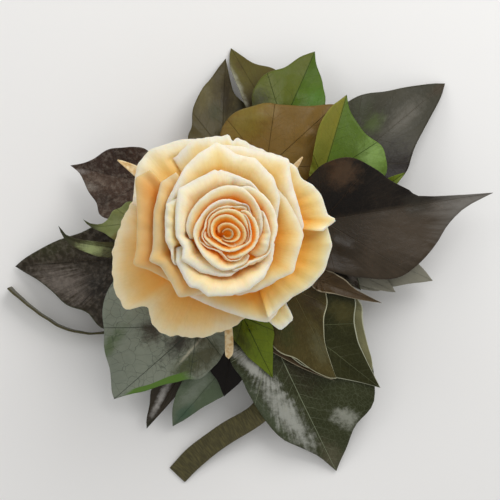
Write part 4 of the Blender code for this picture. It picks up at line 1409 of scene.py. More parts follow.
def petal_grid(order: int, petal: Petal, rosette: "Rosette") -> Array:
    """Middle surface of a petal, with rows from its foot to its rim and columns round the rose.

    Each column follows its own profile. The petal widens from its claw, swells a little in its middle, and
    turns up at the side edges that curl.

    Args:
        order: The petal's number, from 0.
        petal: The petal.
        rosette: What the petals made so far fill.

    Returns:
        Points about the rose's axis, rows by columns by 3.
    """
    rng = np.random.default_rng(PETAL_SEED + order)
    corners = petal_corners(petal)
    columns = int((corners[-1, 0] - corners[0, 0]) / PETAL_STEP_DEG) + 1
    azimuth = np.linspace(corners[0, 0], corners[-1, 0], columns + 1)
    aside = np.linspace(-1.0, 1.0, columns + 1)
    rim = rim_radius(petal, corners, azimuth)
    rim = rim + petal.ragged * waves(azimuth / 60.0, rng, (3.1, 6.3, 10.7))
    top = petal.height - petal.sag * np.abs(aside) ** 2.6
    top = top + petal.ruffle * waves(aside, rng, (1.3, 2.6, 4.1))
    path = rolled(petal_profiles(petal, rosette, azimuth, rim, top), petal.roll, rim)
    radius, height = path[..., 0], path[..., 1]
    rows = PETAL_SHARES
    middle = 0.5 * (corners[0, 0] + corners[-1, 0])
    width = petal.claw + (1.0 - petal.claw) * smooth(rows, 0.05, petal.widen)[:, None]
    angle = np.radians(middle + (azimuth - middle)[None, :] * width)
    swell = petal.ruffle * 0.6 * waves(aside * 0.5, rng, (1.0, 2.3))[None, :]
    swell = swell * smooth(rows, 0.4, 0.9)[:, None]
    radius = np.maximum(radius + swell * (1.0 - rows[:, None] ** 6), 0.4)
    for end, rise in zip((0, -1), petal.curl):
        from_end = np.abs(azimuth - azimuth[end])[None, :] * math.radians(1.0) * radius
        turned_up = rise * (1.0 - smooth(from_end, 0.0, CURL_WIDTH))
        height = height + turned_up * smooth(rows, 0.45, 0.9)[:, None]
    return np.stack([radius * np.cos(angle), radius * np.sin(angle), height], axis=-1)


@dataclass
class Rosette:
    """How far out the petals made so far reach: the lowest angle above level by azimuth and distance.

    Angle and distance are taken about the ring where petals are rooted, in the plane of the rose's axis.
    """

    root_radius: float = 6.0
    cell_deg: float = 1.0
    cell: float = 0.3
    spacing: float = 0.52
    slope: float = 0.5
    lowest: Array = field(default_factory=lambda: np.full((360, 240), math.tau))

    def measure(self, points: Array) -> tuple[Array, Array, Array, tuple[Array, Array]]:
        """Where points are about the root ring.

        Args:
            points: Points about the rose's axis, any shape by 3.

        Returns:
            Azimuth, distance and angle in radians and millimetres, and the row and column of the cell.
        """
        radius = np.hypot(points[..., 0], points[..., 1]) - self.root_radius
        distance, angle = np.hypot(radius, points[..., 2]), np.arctan2(points[..., 2], radius)
        azimuth = np.arctan2(points[..., 1], points[..., 0])
        return azimuth, distance, angle, self.cells(np.degrees(azimuth), distance)

    def cells(self, azimuth: Array, distance: Array) -> tuple[Array, Array]:
        """Row and column of the cells at azimuths in degrees and at distances."""
        row = (azimuth % 360.0 / self.cell_deg).astype(int) % len(self.lowest)
        return row, np.clip((distance / self.cell).astype(int), 1, self.lowest.shape[1] - 2)

    def wall(self, azimuth: Array, height: Array, limit: Array) -> Array:
        """Radius of a wall that hugs what is within it.

        Args:
            azimuth: Azimuths in degrees.
            height: Height of the wall's top at each azimuth.
            limit: Radius that the wall stays within, by an eighth.

        Returns:
            The wall's radius at each azimuth.
        """
        radius = 0.6 * limit
        for _ in range(3):
            distance = np.hypot(radius - self.root_radius, height)
            angle = self.lowest[self.cells(azimuth, distance)]
            hug = self.root_radius + distance * np.cos(np.minimum(angle, math.pi)) + self.spacing
            radius = np.where(angle > math.pi, 0.75 * limit, hug)
            radius = np.clip(radius, 0.3 * limit, 0.88 * limit)
        for _ in range(6):
            radius = np.convolve(np.pad(radius, 1, mode="edge"), ROUNDING, mode="valid")
        return radius

    def add(self, points: Array) -> None:
        """Takes in a finished petal, spread over the neighbouring cells.

        Args:
            points: The petal's middle surface.
        """
        _, _, angle, (row, column) = self.measure(refined(points, 3))
        for side in (-1, 0, 1):
            for step in (-1, 0, 1):
                np.minimum.at(self.lowest, ((row + side) % len(self.lowest), column + step), angle)

    def opened(self, points: Array, loose: Array) -> Array:
        """Petal points turned outwards about the root ring until the petal clears those within it.

        Args:
            points: Grid of points of the petal's middle surface.
            loose: Share of its turn that each row follows: 0 at the foot, 1 beyond.

        Returns:
            The grid of turned points.
        """
        fall_rows = self.slope * np.linalg.norm(np.diff(points, axis=0), axis=-1)
        fall_columns = self.slope * np.linalg.norm(np.diff(points, axis=1), axis=-1)
        for _ in range(14):
            azimuth, distance, angle, cell = self.measure(points)
            need = np.clip((angle - self.lowest[cell]) * distance + self.spacing, 0.0, 12.0)
            need = need * loose[:, None]
            if need.max() < 0.04:
                break
            need = blurred(spread(need, fall_rows, fall_columns, 14), 2)
            angle = angle - need * loose[:, None] / np.maximum(distance, 1.0)
            radius = np.maximum(self.root_radius + distance * np.cos(angle), 0.3)
            height = distance * np.sin(angle)
            points = np.stack([radius * np.cos(azimuth), radius * np.sin(azimuth), height], axis=-1)
        return points


@dataclass
class Rose:
    """The rose head: petals from the furled bud to the spread ones at the back."""

    workshop: Workshop
    finish: PetalFinish = PetalFinish()
    thickness: float = 0.36
    fibre_radius: float = 16.0

    def build(self) -> Rosette:
        """Makes every petal, each opened clear of those within it.

        Returns:
            What the petals fill.
        """
        material = self.finish.material()
        rosette = Rosette()
        for order, petal in enumerate(PETALS):
            points = rosette.opened(petal_grid(order, petal, rosette), smooth(PETAL_SHARES, 0.0, 0.12))
            rosette.add(points)
            name = f"petal_{order + 1:02d}"
            thing = self.workshop.piece(name, self.skin(petal, points), material, "rose_" + name)
        return rosette

    def skin(self, petal: Petal, points: Array) -> Skin:
        """A petal's closed surface, thin at its rim and plump below it, with the values its finish reads.

        Args:
            petal: The petal.
            points: Its middle surface about the rose's axis.

        Returns:
            The skin.
        """
        length = np.linalg.norm(np.diff(points, axis=0), axis=-1)
        from_rim = np.concatenate([np.cumsum(length[::-1], axis=0)[::-1], np.zeros((1, points.shape[1]))])
        azimuth = np.unwrap(np.arctan2(points[..., 1], points[..., 0]), axis=1)
        aside = (azimuth - azimuth.mean()) * self.fibre_radius
        bud = np.full(points.shape[:2], petal.bud)
        # age: where the painted crevice shade and glow start, the painted shade (tan), and 0, made 1 on the
        # outer side below.
        age = np.broadcast_to((petal.core, petal.tan, 0.0), points.shape)
        values = {"petal": np.stack([from_rim, aside, bud], axis=-1), "age": age}
        thickness = self.thickness * (0.55 + 0.45 * smooth(from_rim, 0.0, 2.5))
        thickness = thickness + petal.plump * smooth(from_rim, 0.9, 3.0) * smooth(from_rim, 26.0, 20.0)
        skin = sheet_skin(rose_frame(points), thickness, values)
        outer_side = slice(from_rim.size, 2 * from_rim.size)
        skin.values["age"][outer_side, 2] = 1.0
        return skin


# ---------------- ivy leaves

# Angles from a leaf's midrib, in degrees, at which its outline is given in hundredths of its length.
OUTLINE_ANGLES = (4, 10, 20, 34, 50, 70, 95, 130)
Outline = tuple[int, int, int, int, int, int, int, int]
BROAD: Outline = (90, 78, 68, 61, 50, 38, 30, 24)
LOBED: Outline = (88, 72, 58, 60, 64, 46, 38, 30)
SLIM: Outline = (84, 64, 44, 32, 25, 20, 17, 14)
SICKLE: Outline = (74, 50, 31, 22, 18, 15, 13, 11)


@dataclass(frozen=True)
class Leaf:
    """One ivy leaf between its junction and its tip. Angles are in degrees, and left is seen from above."""

    name: str
    junction: tuple[float, float, float]
    tip: tuple[float, float, float]
    left: Outline = BROAD
    right: Outline = BROAD
    tone: Tone = Tone.DARK
    fold: tuple[float, float] = (12.0, 12.0)
    curl: tuple[float, float] = (-20.0, -20.0)
    arch: float = 20.0
    flick: float = 0.0
    hook: float = 0.0
    wave: float = 0.35
    bent_stalk: float = 0.0


# From the lowest to the highest, as they lie over each other.
LEAVES = (
    Leaf("top_right", (27.4, 28.3, 12.0), (54.5, 51.0, 0.3), (92, 80, 66, 57, 49, 38, 30, 24),
         (90, 74, 58, 48, 44, 36, 30, 24), Tone.SLATE, fold=(6, 8), arch=30),
    Leaf("top_left", (-7.7, 31.8, 11.5), (-6.8, 57.9, 1.4), (91, 80, 69, 55, 42, 38, 32, 28),
         (78, 62, 57, 54, 48, 40, 32, 26), Tone.COCOA, fold=(16, 12), arch=22),
    Leaf("top_back", (6.0, 40.6, 12.5), (-5.3, 60.9, -0.3), (92, 77, 50, 36, 28, 22, 18, 15),
         (87, 73, 64, 60, 50, 40, 30, 24), Tone.OLIVEY, fold=(30, 8), arch=24),
    Leaf("far_left", (-33.4, 2.2, 13.0), (-65.5, -0.1, 1.0), (91, 80, 71, 65, 59, 62, 46, 34),
         (91, 77, 60, 46, 38, 32, 26, 20), Tone.DARK, fold=(14, 8), arch=26),
    Leaf("right_back", (26.0, 7.1, 12.5), (50.5, -4.0, 7.0), LOBED, BROAD, Tone.ASH, arch=18),
    Leaf("right_under", (23.2, 1.1, 13.5), (40.0, -7.1, 9.5), BROAD, SLIM, Tone.ASH, arch=14),
    Leaf("bottom_spike", (-16.4, -25.7, 11.0), (-28.8, -45.3, 2.0), (70, 48, 34, 26, 22, 18, 15, 12),
         (90, 73, 59, 40, 30, 24, 20, 16), Tone.SPIKE, fold=(14, 14), arch=25),
    Leaf("bottom_teal", (-6.0, -26.3, 12.5), (-21.5, -44.6, 2.0), (83, 63, 49, 38, 30, 24, 20, 16),
         (93, 83, 66, 50, 38, 28, 22, 18), Tone.TEAL, fold=(4, 12), arch=22, bent_stalk=-4),
    Leaf("bottom_black", (-4.9, -20.2, 13.5), (-7.1, -35.7, 10.0), (92, 84, 74, 62, 48, 36, 28, 22), BROAD,
         Tone.BLACK, fold=(10, 10), arch=18, bent_stalk=12),
    Leaf("bottom_right", (6.0, -19.8, 12.0), (24.1, -57.3, 0.0), (94, 88, 81, 78, 68, 56, 44, 34),
         (86, 77, 67, 51, 38, 32, 30, 26), Tone.DEEP, fold=(6, -3), curl=(-30, -85), arch=36),
    Leaf("right_edge", (20.5, -9.3, 13.5), (33.7, -28.7, 7.0), (90, 72, 56, 48, 42, 34, 28, 22), BROAD,
         Tone.DUSK, fold=(15, 15), arch=22),
    Leaf("top_green", (9.0, 38.6, 14.5), (18.0, 59.5, 5.0), (94, 86, 72, 67, 62, 50, 38, 30),
         (88, 79, 70, 61, 50, 40, 32, 26), Tone.GREEN, fold=(10, 14), arch=26),
    Leaf("left_sickle", (-36.0, 4.9, 15.0), (-52.3, 11.0, 14.0), (80, 60, 42, 30, 22, 17, 14, 12),
         (60, 34, 22, 16, 13, 11, 10, 9), Tone.SICKLE, fold=(35, 10), hook=0.22),
    Leaf("upper_left", (-28.7, 22.7, 15.5), (-49.7, 27.9, 6.0), (87, 80, 74, 68, 68, 58, 44, 34),
         (85, 75, 68, 59, 50, 44, 36, 28), Tone.UMBER, fold=(6, 26), arch=26),
    Leaf("right_curl", (30.6, 17.2, 15.0), (42.5, 25.7, 13.0), SLIM, SLIM, Tone.LEAFY, fold=(20, 20),
         arch=10),
    Leaf("lower_brown", (3.8, -16.1, 15.0), (23.1, -31.3, 10.5), SICKLE, SLIM, Tone.BRONZE, arch=16),
    Leaf("lower_dark", (13.7, -16.1, 15.0), (36.0, -33.6, 6.5), (87, 73, 60, 54, 54, 58, 44, 32),
         (85, 72, 58, 46, 38, 30, 26, 20), Tone.NIGHT, fold=(10, 8), arch=24),
    Leaf("top_olive", (4.4, 26.7, 17.0), (23.7, 44.3, 14.0), (93, 83, 74, 69, 68, 66, 63, 46), BROAD,
         Tone.OLIVE, fold=(-4, 4), arch=16),
    Leaf("lower_left", (-14.2, -16.1, 16.5), (-37.6, -36.8, 6.5), (86, 74, 58, 50, 46, 38, 32, 27),
         (97, 91, 85, 84, 84, 82, 60, 40), Tone.PEWTER, fold=(14, -2), curl=(-90, -14), arch=30),
    Leaf("left_green", (-31.3, 12.0, 17.0), (-45.5, 12.8, 15.5), (78, 62, 52, 47, 44, 36, 28, 22),
         (66, 56, 52, 50, 42, 44, 36, 28), Tone.SAGE, fold=(16, 20), hook=0.2),
    Leaf("lower_olive", (11.4, -6.0, 17.0), (23.6, -30.7, 11.5), (67, 54, 44, 39, 36, 30, 24, 20),
         (96, 86, 72, 66, 56, 40, 30, 24), Tone.KHAKI, fold=(6, 6), arch=24),
    Leaf("lower_green", (-1.9, -13.6, 16.0), (6.2, -30.5, 12.5), (87, 74, 61, 52, 43, 34, 28, 22),
         (86, 72, 57, 42, 34, 28, 22, 18), Tone.LEAFY, fold=(16, 16), arch=16),
    Leaf("right_sliver", (20.4, 3.0, 16.5), (30.2, -6.4, 15.0), BROAD, SLIM, Tone.DARK, fold=(24, 24),
         arch=12),
    Leaf("upper_right", (19.6, 23.9, 17.5), (26.4, 46.8, 15.0), (91, 80, 59, 32, 22, 17, 15, 13),
         (87, 79, 73, 73, 76, 72, 54, 38), Tone.LIME, fold=(48, 4), arch=20),
    Leaf("right_narrow", (18.5, -3.8, 17.8), (36.0, -10.0, 15.0), (65, 50, 40, 30, 24, 20, 16, 14), SICKLE,
         Tone.BRONZE, fold=(30, 30), arch=12, bent_stalk=3),
    Leaf("right_large", (19.6, 12.5, 18.0), (66.7, 20.2, 11.0), (60, 52, 45, 41, 39, 35, 26, 20),
         (83, 74, 67, 60, 51, 36, 28, 20), Tone.LARGE, fold=(40, 6), curl=(-20, -30), arch=26, flick=-24),
)
LEAF_SEED = 900
LEAF_FOOT = 0.09
LEAF_REST = 0.45
# How far a leaf's outline strays at its usual wave, as a share of its reach, and how far its blade swells.
RAGGED = 0.018
SWELL = 0.25
FOLD_ROUND = 0.03
# Angles of a leaf's main veins from its midrib, and how many rays lie from each to the next.
MAIN_VEINS = (0.0, 40.0, 86.0)
RAY_COUNTS = (14, 13, 14)
VEIN_SPACING = 3.4
# Shares of a leaf's reach at which its rings lie.
LEAF_SHARES = (np.arange(1, 27)[:, None] / 26) ** 0.9
PETIOLE_RADIUS = 0.75
PETIOLE_STEPS = 20
PETIOLE_MARGIN = 1.2
HELD_RADIUS = 8.0
LOOSE_RADIUS = 15.0


def leaf_rays() -> Array:
    """Angles of the rays of a leaf's grid, in degrees from -180 to 180, with one on each main vein.

    Returns:
        The angles, which stand closer near the tip.
    """
    marks = [*MAIN_VEINS, 180.0]
    side = [np.linspace(a, b, n, endpoint=False) for a, b, n in zip(marks, marks[1:], RAY_COUNTS)]
    half = np.concatenate([*side, [180.0]])
    near_tip = RAY_COUNTS[0]
    half[1:near_tip] = MAIN_VEINS[1] * (np.arange(1, near_tip) / near_tip) ** 1.35
    return np.concatenate([-half[:0:-1], half[:-1]])


def outline_reach(hundredths: Outline, angles: Array) -> Array:
    """How far one side reaches: a smooth curve in plan through the tip, the given points and the foot.

    Args:
        hundredths: Hundredths of the leaf's length at OUTLINE_ANGLES.
        angles: Angles from the midrib in degrees.

    Returns:
        Share of the leaf's length at each angle.
    """
    given = np.radians((0.0, *OUTLINE_ANGLES, 180.0))
    reach = np.array([1.0, *(np.array(hundredths) / 100), LEAF_FOOT])
    line = route_through(np.stack([reach * np.cos(given), reach * np.sin(given)], -1), 216)
    turned = np.maximum.accumulate(np.degrees(np.arctan2(np.abs(line[:, 1]), line[:, 0])))
    return np.interp(angles, turned, np.hypot(line[:, 0], line[:, 1]))


def leaf_veins(away: Array, angles: Array, from_edge: Array, length: float) -> Array:
    """What the veins are drawn from.

    The nearest main vein is at the angle d from a ray. A place r along the ray is r sin d from that vein,
    and the side vein through it leaves the main one 0.8 of this distance nearer to the foot.

    Args:
        away: Distance from the junction as a share of the leaf's length, rings by rays.
        angles: Angles of the rays in degrees.
        from_edge: Distance from the edge in millimetres.
        length: The leaf's length.

    Returns:
        Distance from the main vein, widened towards the edge, the side veins' phase, and from_edge.
    """
    gap = np.abs(angles)[None, :, None] - np.array(MAIN_VEINS)[None, None, :]
    delta = np.radians(np.abs(gap).min(axis=-1))
    radial = away * length
    from_main = radial * np.sin(np.minimum(delta, math.pi / 2))
    phase = (radial * np.cos(delta) - 0.8 * from_main) / VEIN_SPACING
    taper = 1.0 + 1.2 * LEAF_SHARES
    return np.stack([from_main * taper, phase, from_edge], axis=-1)


def leaf_relief(leaf: Leaf, x: Array, y: Array, angles: Array, rng: np.random.Generator) -> Array:
    """Height of a leaf, as a share of its length.

    Above the straight line from junction to tip stand an arch over the midrib, a fold that rises with the
    distance from the midrib, a curl that grows with that distance squared, a flick of the tip, waves at the
    edge and a soft swell.

    Args:
        leaf: The leaf.
        x: Place along the midrib as a share of its length, rings by rays.
        y: Place to its left, likewise.
        angles: Angles of the rays in degrees.
        rng: Where the waves come from.

    Returns:
        The heights, rings by rays.
    """
    chord = np.subtract(leaf.tip, leaf.junction)
    length = float(np.hypot(chord[0], chord[1]))
    side = np.where(angles >= 0, 0, 1)[None, :]
    fold = np.tan(np.radians(np.array(leaf.fold)))[side]
    curl = np.radians(np.array(leaf.curl))[side]
    wide = np.sqrt(y**2 + FOLD_ROUND**2) - FOLD_ROUND
    height = leaf.junction[2] / length + chord[2] / length * x
    height = height + 0.5 * math.radians(leaf.arch) * x * (1.0 - x)
    height = height + fold * wide + 0.5 * curl * wide**2
    height = height + math.radians(leaf.flick) / 6.0 * (x - np.clip(x, 0, 1) ** 6)
    ripple = waves(angles / 360.0, rng, (4.0, 7.0, 11.0))[None, :] * LEAF_SHARES**2.5
    height = height + leaf.wave / length * 1.6 * ripple
    swell = waves(x, rng, (1.7, 2.9)) * waves(y, rng, (1.9, 3.1)) * LEAF_SHARES
    return height + SWELL / length * swell


def leaf_grid(leaf: Leaf, order: int) -> tuple[Array, dict[str, Array]]:
    """Middle surface of a leaf, rings by rays, kept above the floor by a soft step.

    Args:
        leaf: The leaf.
        order: Its number, from 0.

    Returns:
        The points, and the values vein and blade that its finish reads.
    """
    rng = np.random.default_rng(LEAF_SEED + order)
    angles = leaf_rays()
    size = np.abs(angles)
    reach = np.where(angles >= 0, outline_reach(leaf.left, size), outline_reach(leaf.right, size))
    ragged = RAGGED * leaf.wave / Leaf.wave * waves(angles / 360.0, rng, (5.0, 9.0, 14.0))
    reach = reach * (1.0 + ragged * smooth(size, 3.0, 20.0))
    away = reach[None, :] * LEAF_SHARES
    turned = np.radians(angles)[None, :]
    x, y = away * np.cos(turned), away * np.sin(turned)
    relief = leaf_relief(leaf, x, y, angles, rng)
    chord = np.subtract(leaf.tip, leaf.junction)
    length = float(np.hypot(chord[0], chord[1]))
    from_edge = (1.0 - LEAF_SHARES) * reach[None, :] * length * np.ones_like(x)
    ahead = chord[:2] / length
    across = np.array([-ahead[1], ahead[0]])
    bend = leaf.hook * (np.clip(x, 0, 1) - np.clip(x, 0, 1) ** 6)
    plan = (x[..., None] * ahead + (y + bend)[..., None] * across) * length + leaf.junction[:2]
    above = relief * length - LEAF_REST
    height = (LEAF_REST + 0.5 * (above + np.sqrt(above**2 + 0.5))) / length
    blade = np.stack([x, y, LEAF_SHARES * np.ones_like(x)], axis=-1)
    values = {"vein": leaf_veins(away, angles, from_edge, length), "blade": blade}
    return np.concatenate([plan, height[..., None] * length], axis=-1), values


def leaf_skin(grid: Array, given: dict[str, Array], thickness: float) -> Skin:
    """A closed leaf about its middle surface, with a rounded edge thinner than its middle.

    Args:
        grid: The middle surface, rings by rays by 3.
        given: Values for each of its points.
        thickness: Thickness at its middle.

    Returns:
        The skin.
    """
    rings, rays = grid.shape[:2]
    centre = grid[0].mean(axis=0)
    looped = np.concatenate([grid[:, -1:], grid, grid[:, :1]], axis=1)
    normal = unit(np.cross(np.gradient(looped, axis=0), np.gradient(looped, axis=1)))[:, 1:-1]
    share = np.linspace(0.0, 1.0, rings)[:, None, None]
    offset = 0.5 * thickness * (1.0 - 0.45 * share**3) * normal
    top, bottom = (grid + offset).reshape(-1, 3), (grid - offset).reshape(-1, 3)
    rim = grid[-1] + unit(grid[-1] - grid[-2]) * 0.25 * thickness
    up = unit(normal[0].mean(axis=0)) * 0.5 * thickness
    points = np.concatenate([top, bottom, rim, [centre + up], [centre - up]])
    count = rings * rays
    quads = grid_quads(rings, rays, wrapped=True)
    j = np.arange(rays)
    k = (j + 1) % rays
    outer = (rings - 1) * rays
    sides = np.concatenate([
        np.stack([outer + k, outer + j, 2 * count + j, 2 * count + k], 1),
        np.stack([2 * count + k, 2 * count + j, count + outer + j, count + outer + k], 1),
    ])
    top_centre, bottom_centre = 2 * count + rays, 2 * count + rays + 1
    triangles = np.concatenate([
        np.stack([np.full(rays, top_centre), j, k], 1),
        np.stack([np.full(rays, bottom_centre), count + k, count + j], 1),
    ])
    middle = np.zeros((2, 3))
    values = {
        name: np.concatenate([value.reshape(-1, 3), value.reshape(-1, 3), value[-1], middle])
        for name, value in given.items()
    }
    return Skin(points, np.concatenate([quads, quads[:, ::-1] + count, sides]), triangles, values)


@dataclass
class Ground:
    """Height of the highest thing laid so far, on a square grid over the footprint."""

    reach: float = 75.0
    cell: float = 0.5
    gap: float = 0.55
    slope: float = 0.30
    height: Array = field(default_factory=lambda: np.full((301, 301), -100.0))

    def cells(self, points: Array) -> tuple[Array, Array]:
        """Row and column of the cell that each point is over."""
        place = np.clip(((points[..., :2] + self.reach) / self.cell).round().astype(int), 1, 299)
        return place[..., 0], place[..., 1]

    def lay(self, grid: Array) -> None:
        """Raises the height to the top of a leaf.

        Args:
            grid: The leaf's middle surface.
        """
        looped = np.concatenate([grid, grid[:, :1]], axis=1)
        spots = refined(looped, 4)
        row, column = self.cells(spots)
        for side in (0, 1):
            for step in (0, 1):
                np.maximum.at(self.height, (row + side, column + step), spots[..., 2])
                np.maximum.at(self.height, (row - side, column - step), spots[..., 2])

    def laid_over(self, grid: Array) -> Array:
        """Points lifted until the leaf clears what lies below.

        The lift fades with the distance from each high spot, and towards the hub, where petioles are held.

        Args:
            grid: The leaf's middle surface.

        Returns:
            The lifted surface.
        """
        grid = grid.copy()
        for _ in range(6):
            looped = np.concatenate([grid, grid[:, :1]], axis=1)
            spots = refined(looped, 3)
            cell = self.cells(spots)
            away = np.linalg.norm(spots[..., :2] - HUB_CENTRE, axis=-1)
            need = np.where(away > LOOSE_RADIUS, self.height[cell] + self.gap - spots[..., 2], 0.0)
            if need.max() < 0.05:
                break
            lift = np.zeros_like(self.height)
            np.maximum.at(lift, cell, np.clip(need, 0.0, 20.0))
            lift = blurred(spread(lift, self.slope * self.cell, self.slope * self.cell, 60), 3)
            away = np.linalg.norm(grid[..., :2] - HUB_CENTRE, axis=-1)
            grid[..., 2] += lift[self.cells(grid)] * smooth(away, HELD_RADIUS, LOOSE_RADIUS)
        return grid


def petiole_skin(leaf: Leaf, grid: Array) -> Skin:
    """The stalk, a Bezier curve from under a leaf's junction to the hub's side.

    Args:
        leaf: The leaf.
        grid: Its middle surface.

    Returns:
        The stalk's skin.
    """
    start = grid[0].mean(axis=0) - (0.0, 0.0, 0.35 + PETIOLE_RADIUS)
    forward = unit(grid[-1, len(leaf_rays()) // 2] - start)
    away = np.array([leaf.junction[0] - HUB_CENTRE[0], leaf.junction[1] - HUB_CENTRE[1], 0.0])
    outward = turn(np.array([0.0, 0.0, 1.0]), leaf.bent_stalk) @ unit(away)
    low, high = HUB_FOOT + PETIOLE_MARGIN, HUB_FOOT + HUB_HEIGHT - PETIOLE_MARGIN
    seat = float(np.clip(start[2] - 0.2, low, high))
    end = np.array([*HUB_CENTRE, seat]) + outward * (HUB_RADIUS + 0.3)
    reach = np.linalg.norm(end - start)
    control = np.array([start, start - forward * 1.6 - (0.0, 0.0, 1.2), end + outward * 0.4 * reach, end])
    path = bezier(control, np.linspace(0.0, 1.0, PETIOLE_STEPS + 1))
    path = np.concatenate([[start + forward * 3.0 + (0, 0, 0.75)], path])
    ahead = unit(np.gradient(path, axis=0))
    across = unit(np.cross(ahead, (0.0, 0.0, 1.0)))
    down = np.cross(across, ahead)
    radius = PETIOLE_RADIUS * (1.0 - 0.25 * np.linspace(1.0, 0.0, len(path)) ** 3)
    radius[0] = 0.15
    return tube_skin(path, across * radius[:, None], down * radius[:, None])


@dataclass
class Foliage:
    """The ivy leaves, each laid over the ones before it."""

    workshop: Workshop
    thickness: float = 0.42

    def build(self) -> None:
        """Makes every leaf with its petiole."""
        materials = {tone: tone.value.material() for tone in Tone}
        ground = Ground()
        for order, leaf in enumerate(LEAVES):
            drawn, given = leaf_grid(leaf, order)
            grid = ground.laid_over(drawn)
            ground.lay(grid)
            skin = leaf_skin(grid, given, self.thickness).joined(petiole_skin(leaf, grid))
            node = "ivy_leaf_" + leaf.name
            self.workshop.piece("leaf_" + leaf.name, skin, materials[leaf.tone], node)


# ---------------- calyx, hub and disc

CALYX_SIDE = ((5.0, 0.0), (5.9, 0.4), (6.6, 0.9), (7.4, 1.5), (7.9, 2.1), (9.2, 3.5), (10.2, 4.4))
SEPAL_ROOT = (7.5, -2.6)


@dataclass(frozen=True)
class Sepal:
    """One sepal: its azimuth, how far its tip reaches, its width, the rise of its tip and its sweep.

    The higher its taper, the nearer to its tip it keeps its width.
    """

    azimuth: float
    reach: float
    width: float
    tip_rise: float
    sweep: float = 0.0
    taper: float = 2.2


@dataclass
class Calyx:
    """The urn under the petals, with five sepals spread beneath them."""

    workshop: Workshop
    rosette: Rosette
    finish: SepalFinish = SepalFinish()
    sepals: tuple[Sepal, ...] = (
        Sepal(136, 33.4, 4.6, 0.8, sweep=2.8),
        Sepal(39, 32.0, 3.6, 4.5, sweep=2.5),
        Sepal(-15, 24.0, 4.4, 1.0),
        Sepal(-79.5, 32.0, 1.45, -3.0, sweep=-1.7, taper=40.0),
        Sepal(-152, 24.0, 4.4, -4.0),
    )
    sides: int = 60
    ribs: int = 10
    sepal_thickness: float = 0.5

    def urn(self) -> Skin:
        """The urn with soft ribs, its domed top under the petals and its level foot on the hub.

        Returns:
            Its skin.
        """
        around = np.linspace(0.0, math.tau, self.sides, endpoint=False)
        dome = [(r, float(receptacle_height(r))) for r in (0.3, 3.0, 6.0, 8.5, 10.0)]
        side = [(r, h - CALYX_HEIGHT) for r, h in reversed(CALYX_SIDE)]
        profile = np.array([*dome, (RECEPTACLE_RADIUS, -0.15), *side])
        rib = 1.0 + 0.02 * np.cos(self.ribs * around)
        wide = profile[:, 0, None] * np.where(profile[:, 1, None] < 0, rib[None], 1.0)
        rings = np.stack([
            wide * np.cos(around), wide * np.sin(around), np.broadcast_to(profile[:, 1, None], wide.shape),
        ], axis=-1)
        leant = rose_frame(rings)
        leant[-1] = rings[-1] + (*HUB_CENTRE, CALYX_FOOT + CALYX_HEIGHT)
        top = rose_frame(np.array([0.0, 0.0, RECEPTACLE_RISE]))
        return ring_skin(leant, top, np.array([*HUB_CENTRE, CALYX_FOOT]))

    def blade(self, sepal: Sepal) -> Skin:
        """A tapering strip, cupped about its midrib, that runs out under the petals to a point.

        Args:
            sepal: The sepal.

        Returns:
            Its skin.
        """
        share = np.linspace(0.0, 1.0, 40)
        reach = SEPAL_ROOT[0] + (sepal.reach - SEPAL_ROOT[0]) * share
        azimuth = math.radians(sepal.azimuth)
        aside = sepal.sweep * share**3
        height = SEPAL_ROOT[1] + 1.4 * share + sepal.tip_rise * share**2.5
        wide = 0.5 * sepal.width * (0.75 + 0.6 * share) * (1.0 - share**sepal.taper) + 0.12
        across = np.linspace(-1.0, 1.0, 9)
        out = np.array([math.cos(azimuth), math.sin(azimuth), 0.0])
        side = np.array([-out[1], out[0], 0.0])
        offset = (aside[:, None] + wide[:, None] * across[None, :])[..., None]
        cup = 0.25 * wide[:, None] * across[None, :] ** 2
        grid = reach[:, None, None] * out + offset * side
        grid = grid + (height[:, None] + cup)[..., None] * np.array([0.0, 0.0, 1.0])
        grid = self.rosette.opened(grid, smooth(share, 0.1, 0.25))
        return sheet_skin(rose_frame(grid), np.full(grid.shape[:2], self.sepal_thickness), {})

    def build(self) -> None:
        """Makes the calyx and its sepals as one piece."""
        skin = self.urn()
        for sepal in self.sepals:
            skin = skin.joined(self.blade(sepal))
        self.workshop.piece("calyx_and_sepals", skin, self.finish.material(), "calyx")


def turned_skin(profile: Array, sides: int, lobes: Array | None = None) -> Skin:
    """A body turned about the hub's axis.

    Args:
        profile: (radius, height) points that run from its top to its foot.
        sides: How many points go round it.
        lobes: What is added to its radius, points by sides.

    Returns:
        The skin, with the value cloth: the way round it and its height.
    """
    around = np.linspace(0.0, math.tau, sides, endpoint=False)
    wide = np.repeat(profile[:, 0, None], sides, axis=1)
    height = np.repeat(profile[:, 1, None], sides, axis=1)
    if lobes is not None:
        wide = wide + lobes
    rings = np.stack([wide * np.cos(around), wide * np.sin(around), height], axis=-1)
    centre = np.array([*HUB_CENTRE, 0.0])
    first, last = np.array([0.0, 0.0, profile[0, 1]]), np.array([0.0, 0.0, profile[-1, 1]])
    skin = ring_skin(rings + centre, first + centre, last + centre)
    angle = np.broadcast_to(around * HUB_RADIUS, wide.shape).reshape(-1)
    cloth = np.stack([angle, height.reshape(-1), np.zeros(wide.size)], axis=-1)
    skin.values["cloth"] = np.concatenate([cloth, cloth[:1], cloth[-1:]])
    return skin


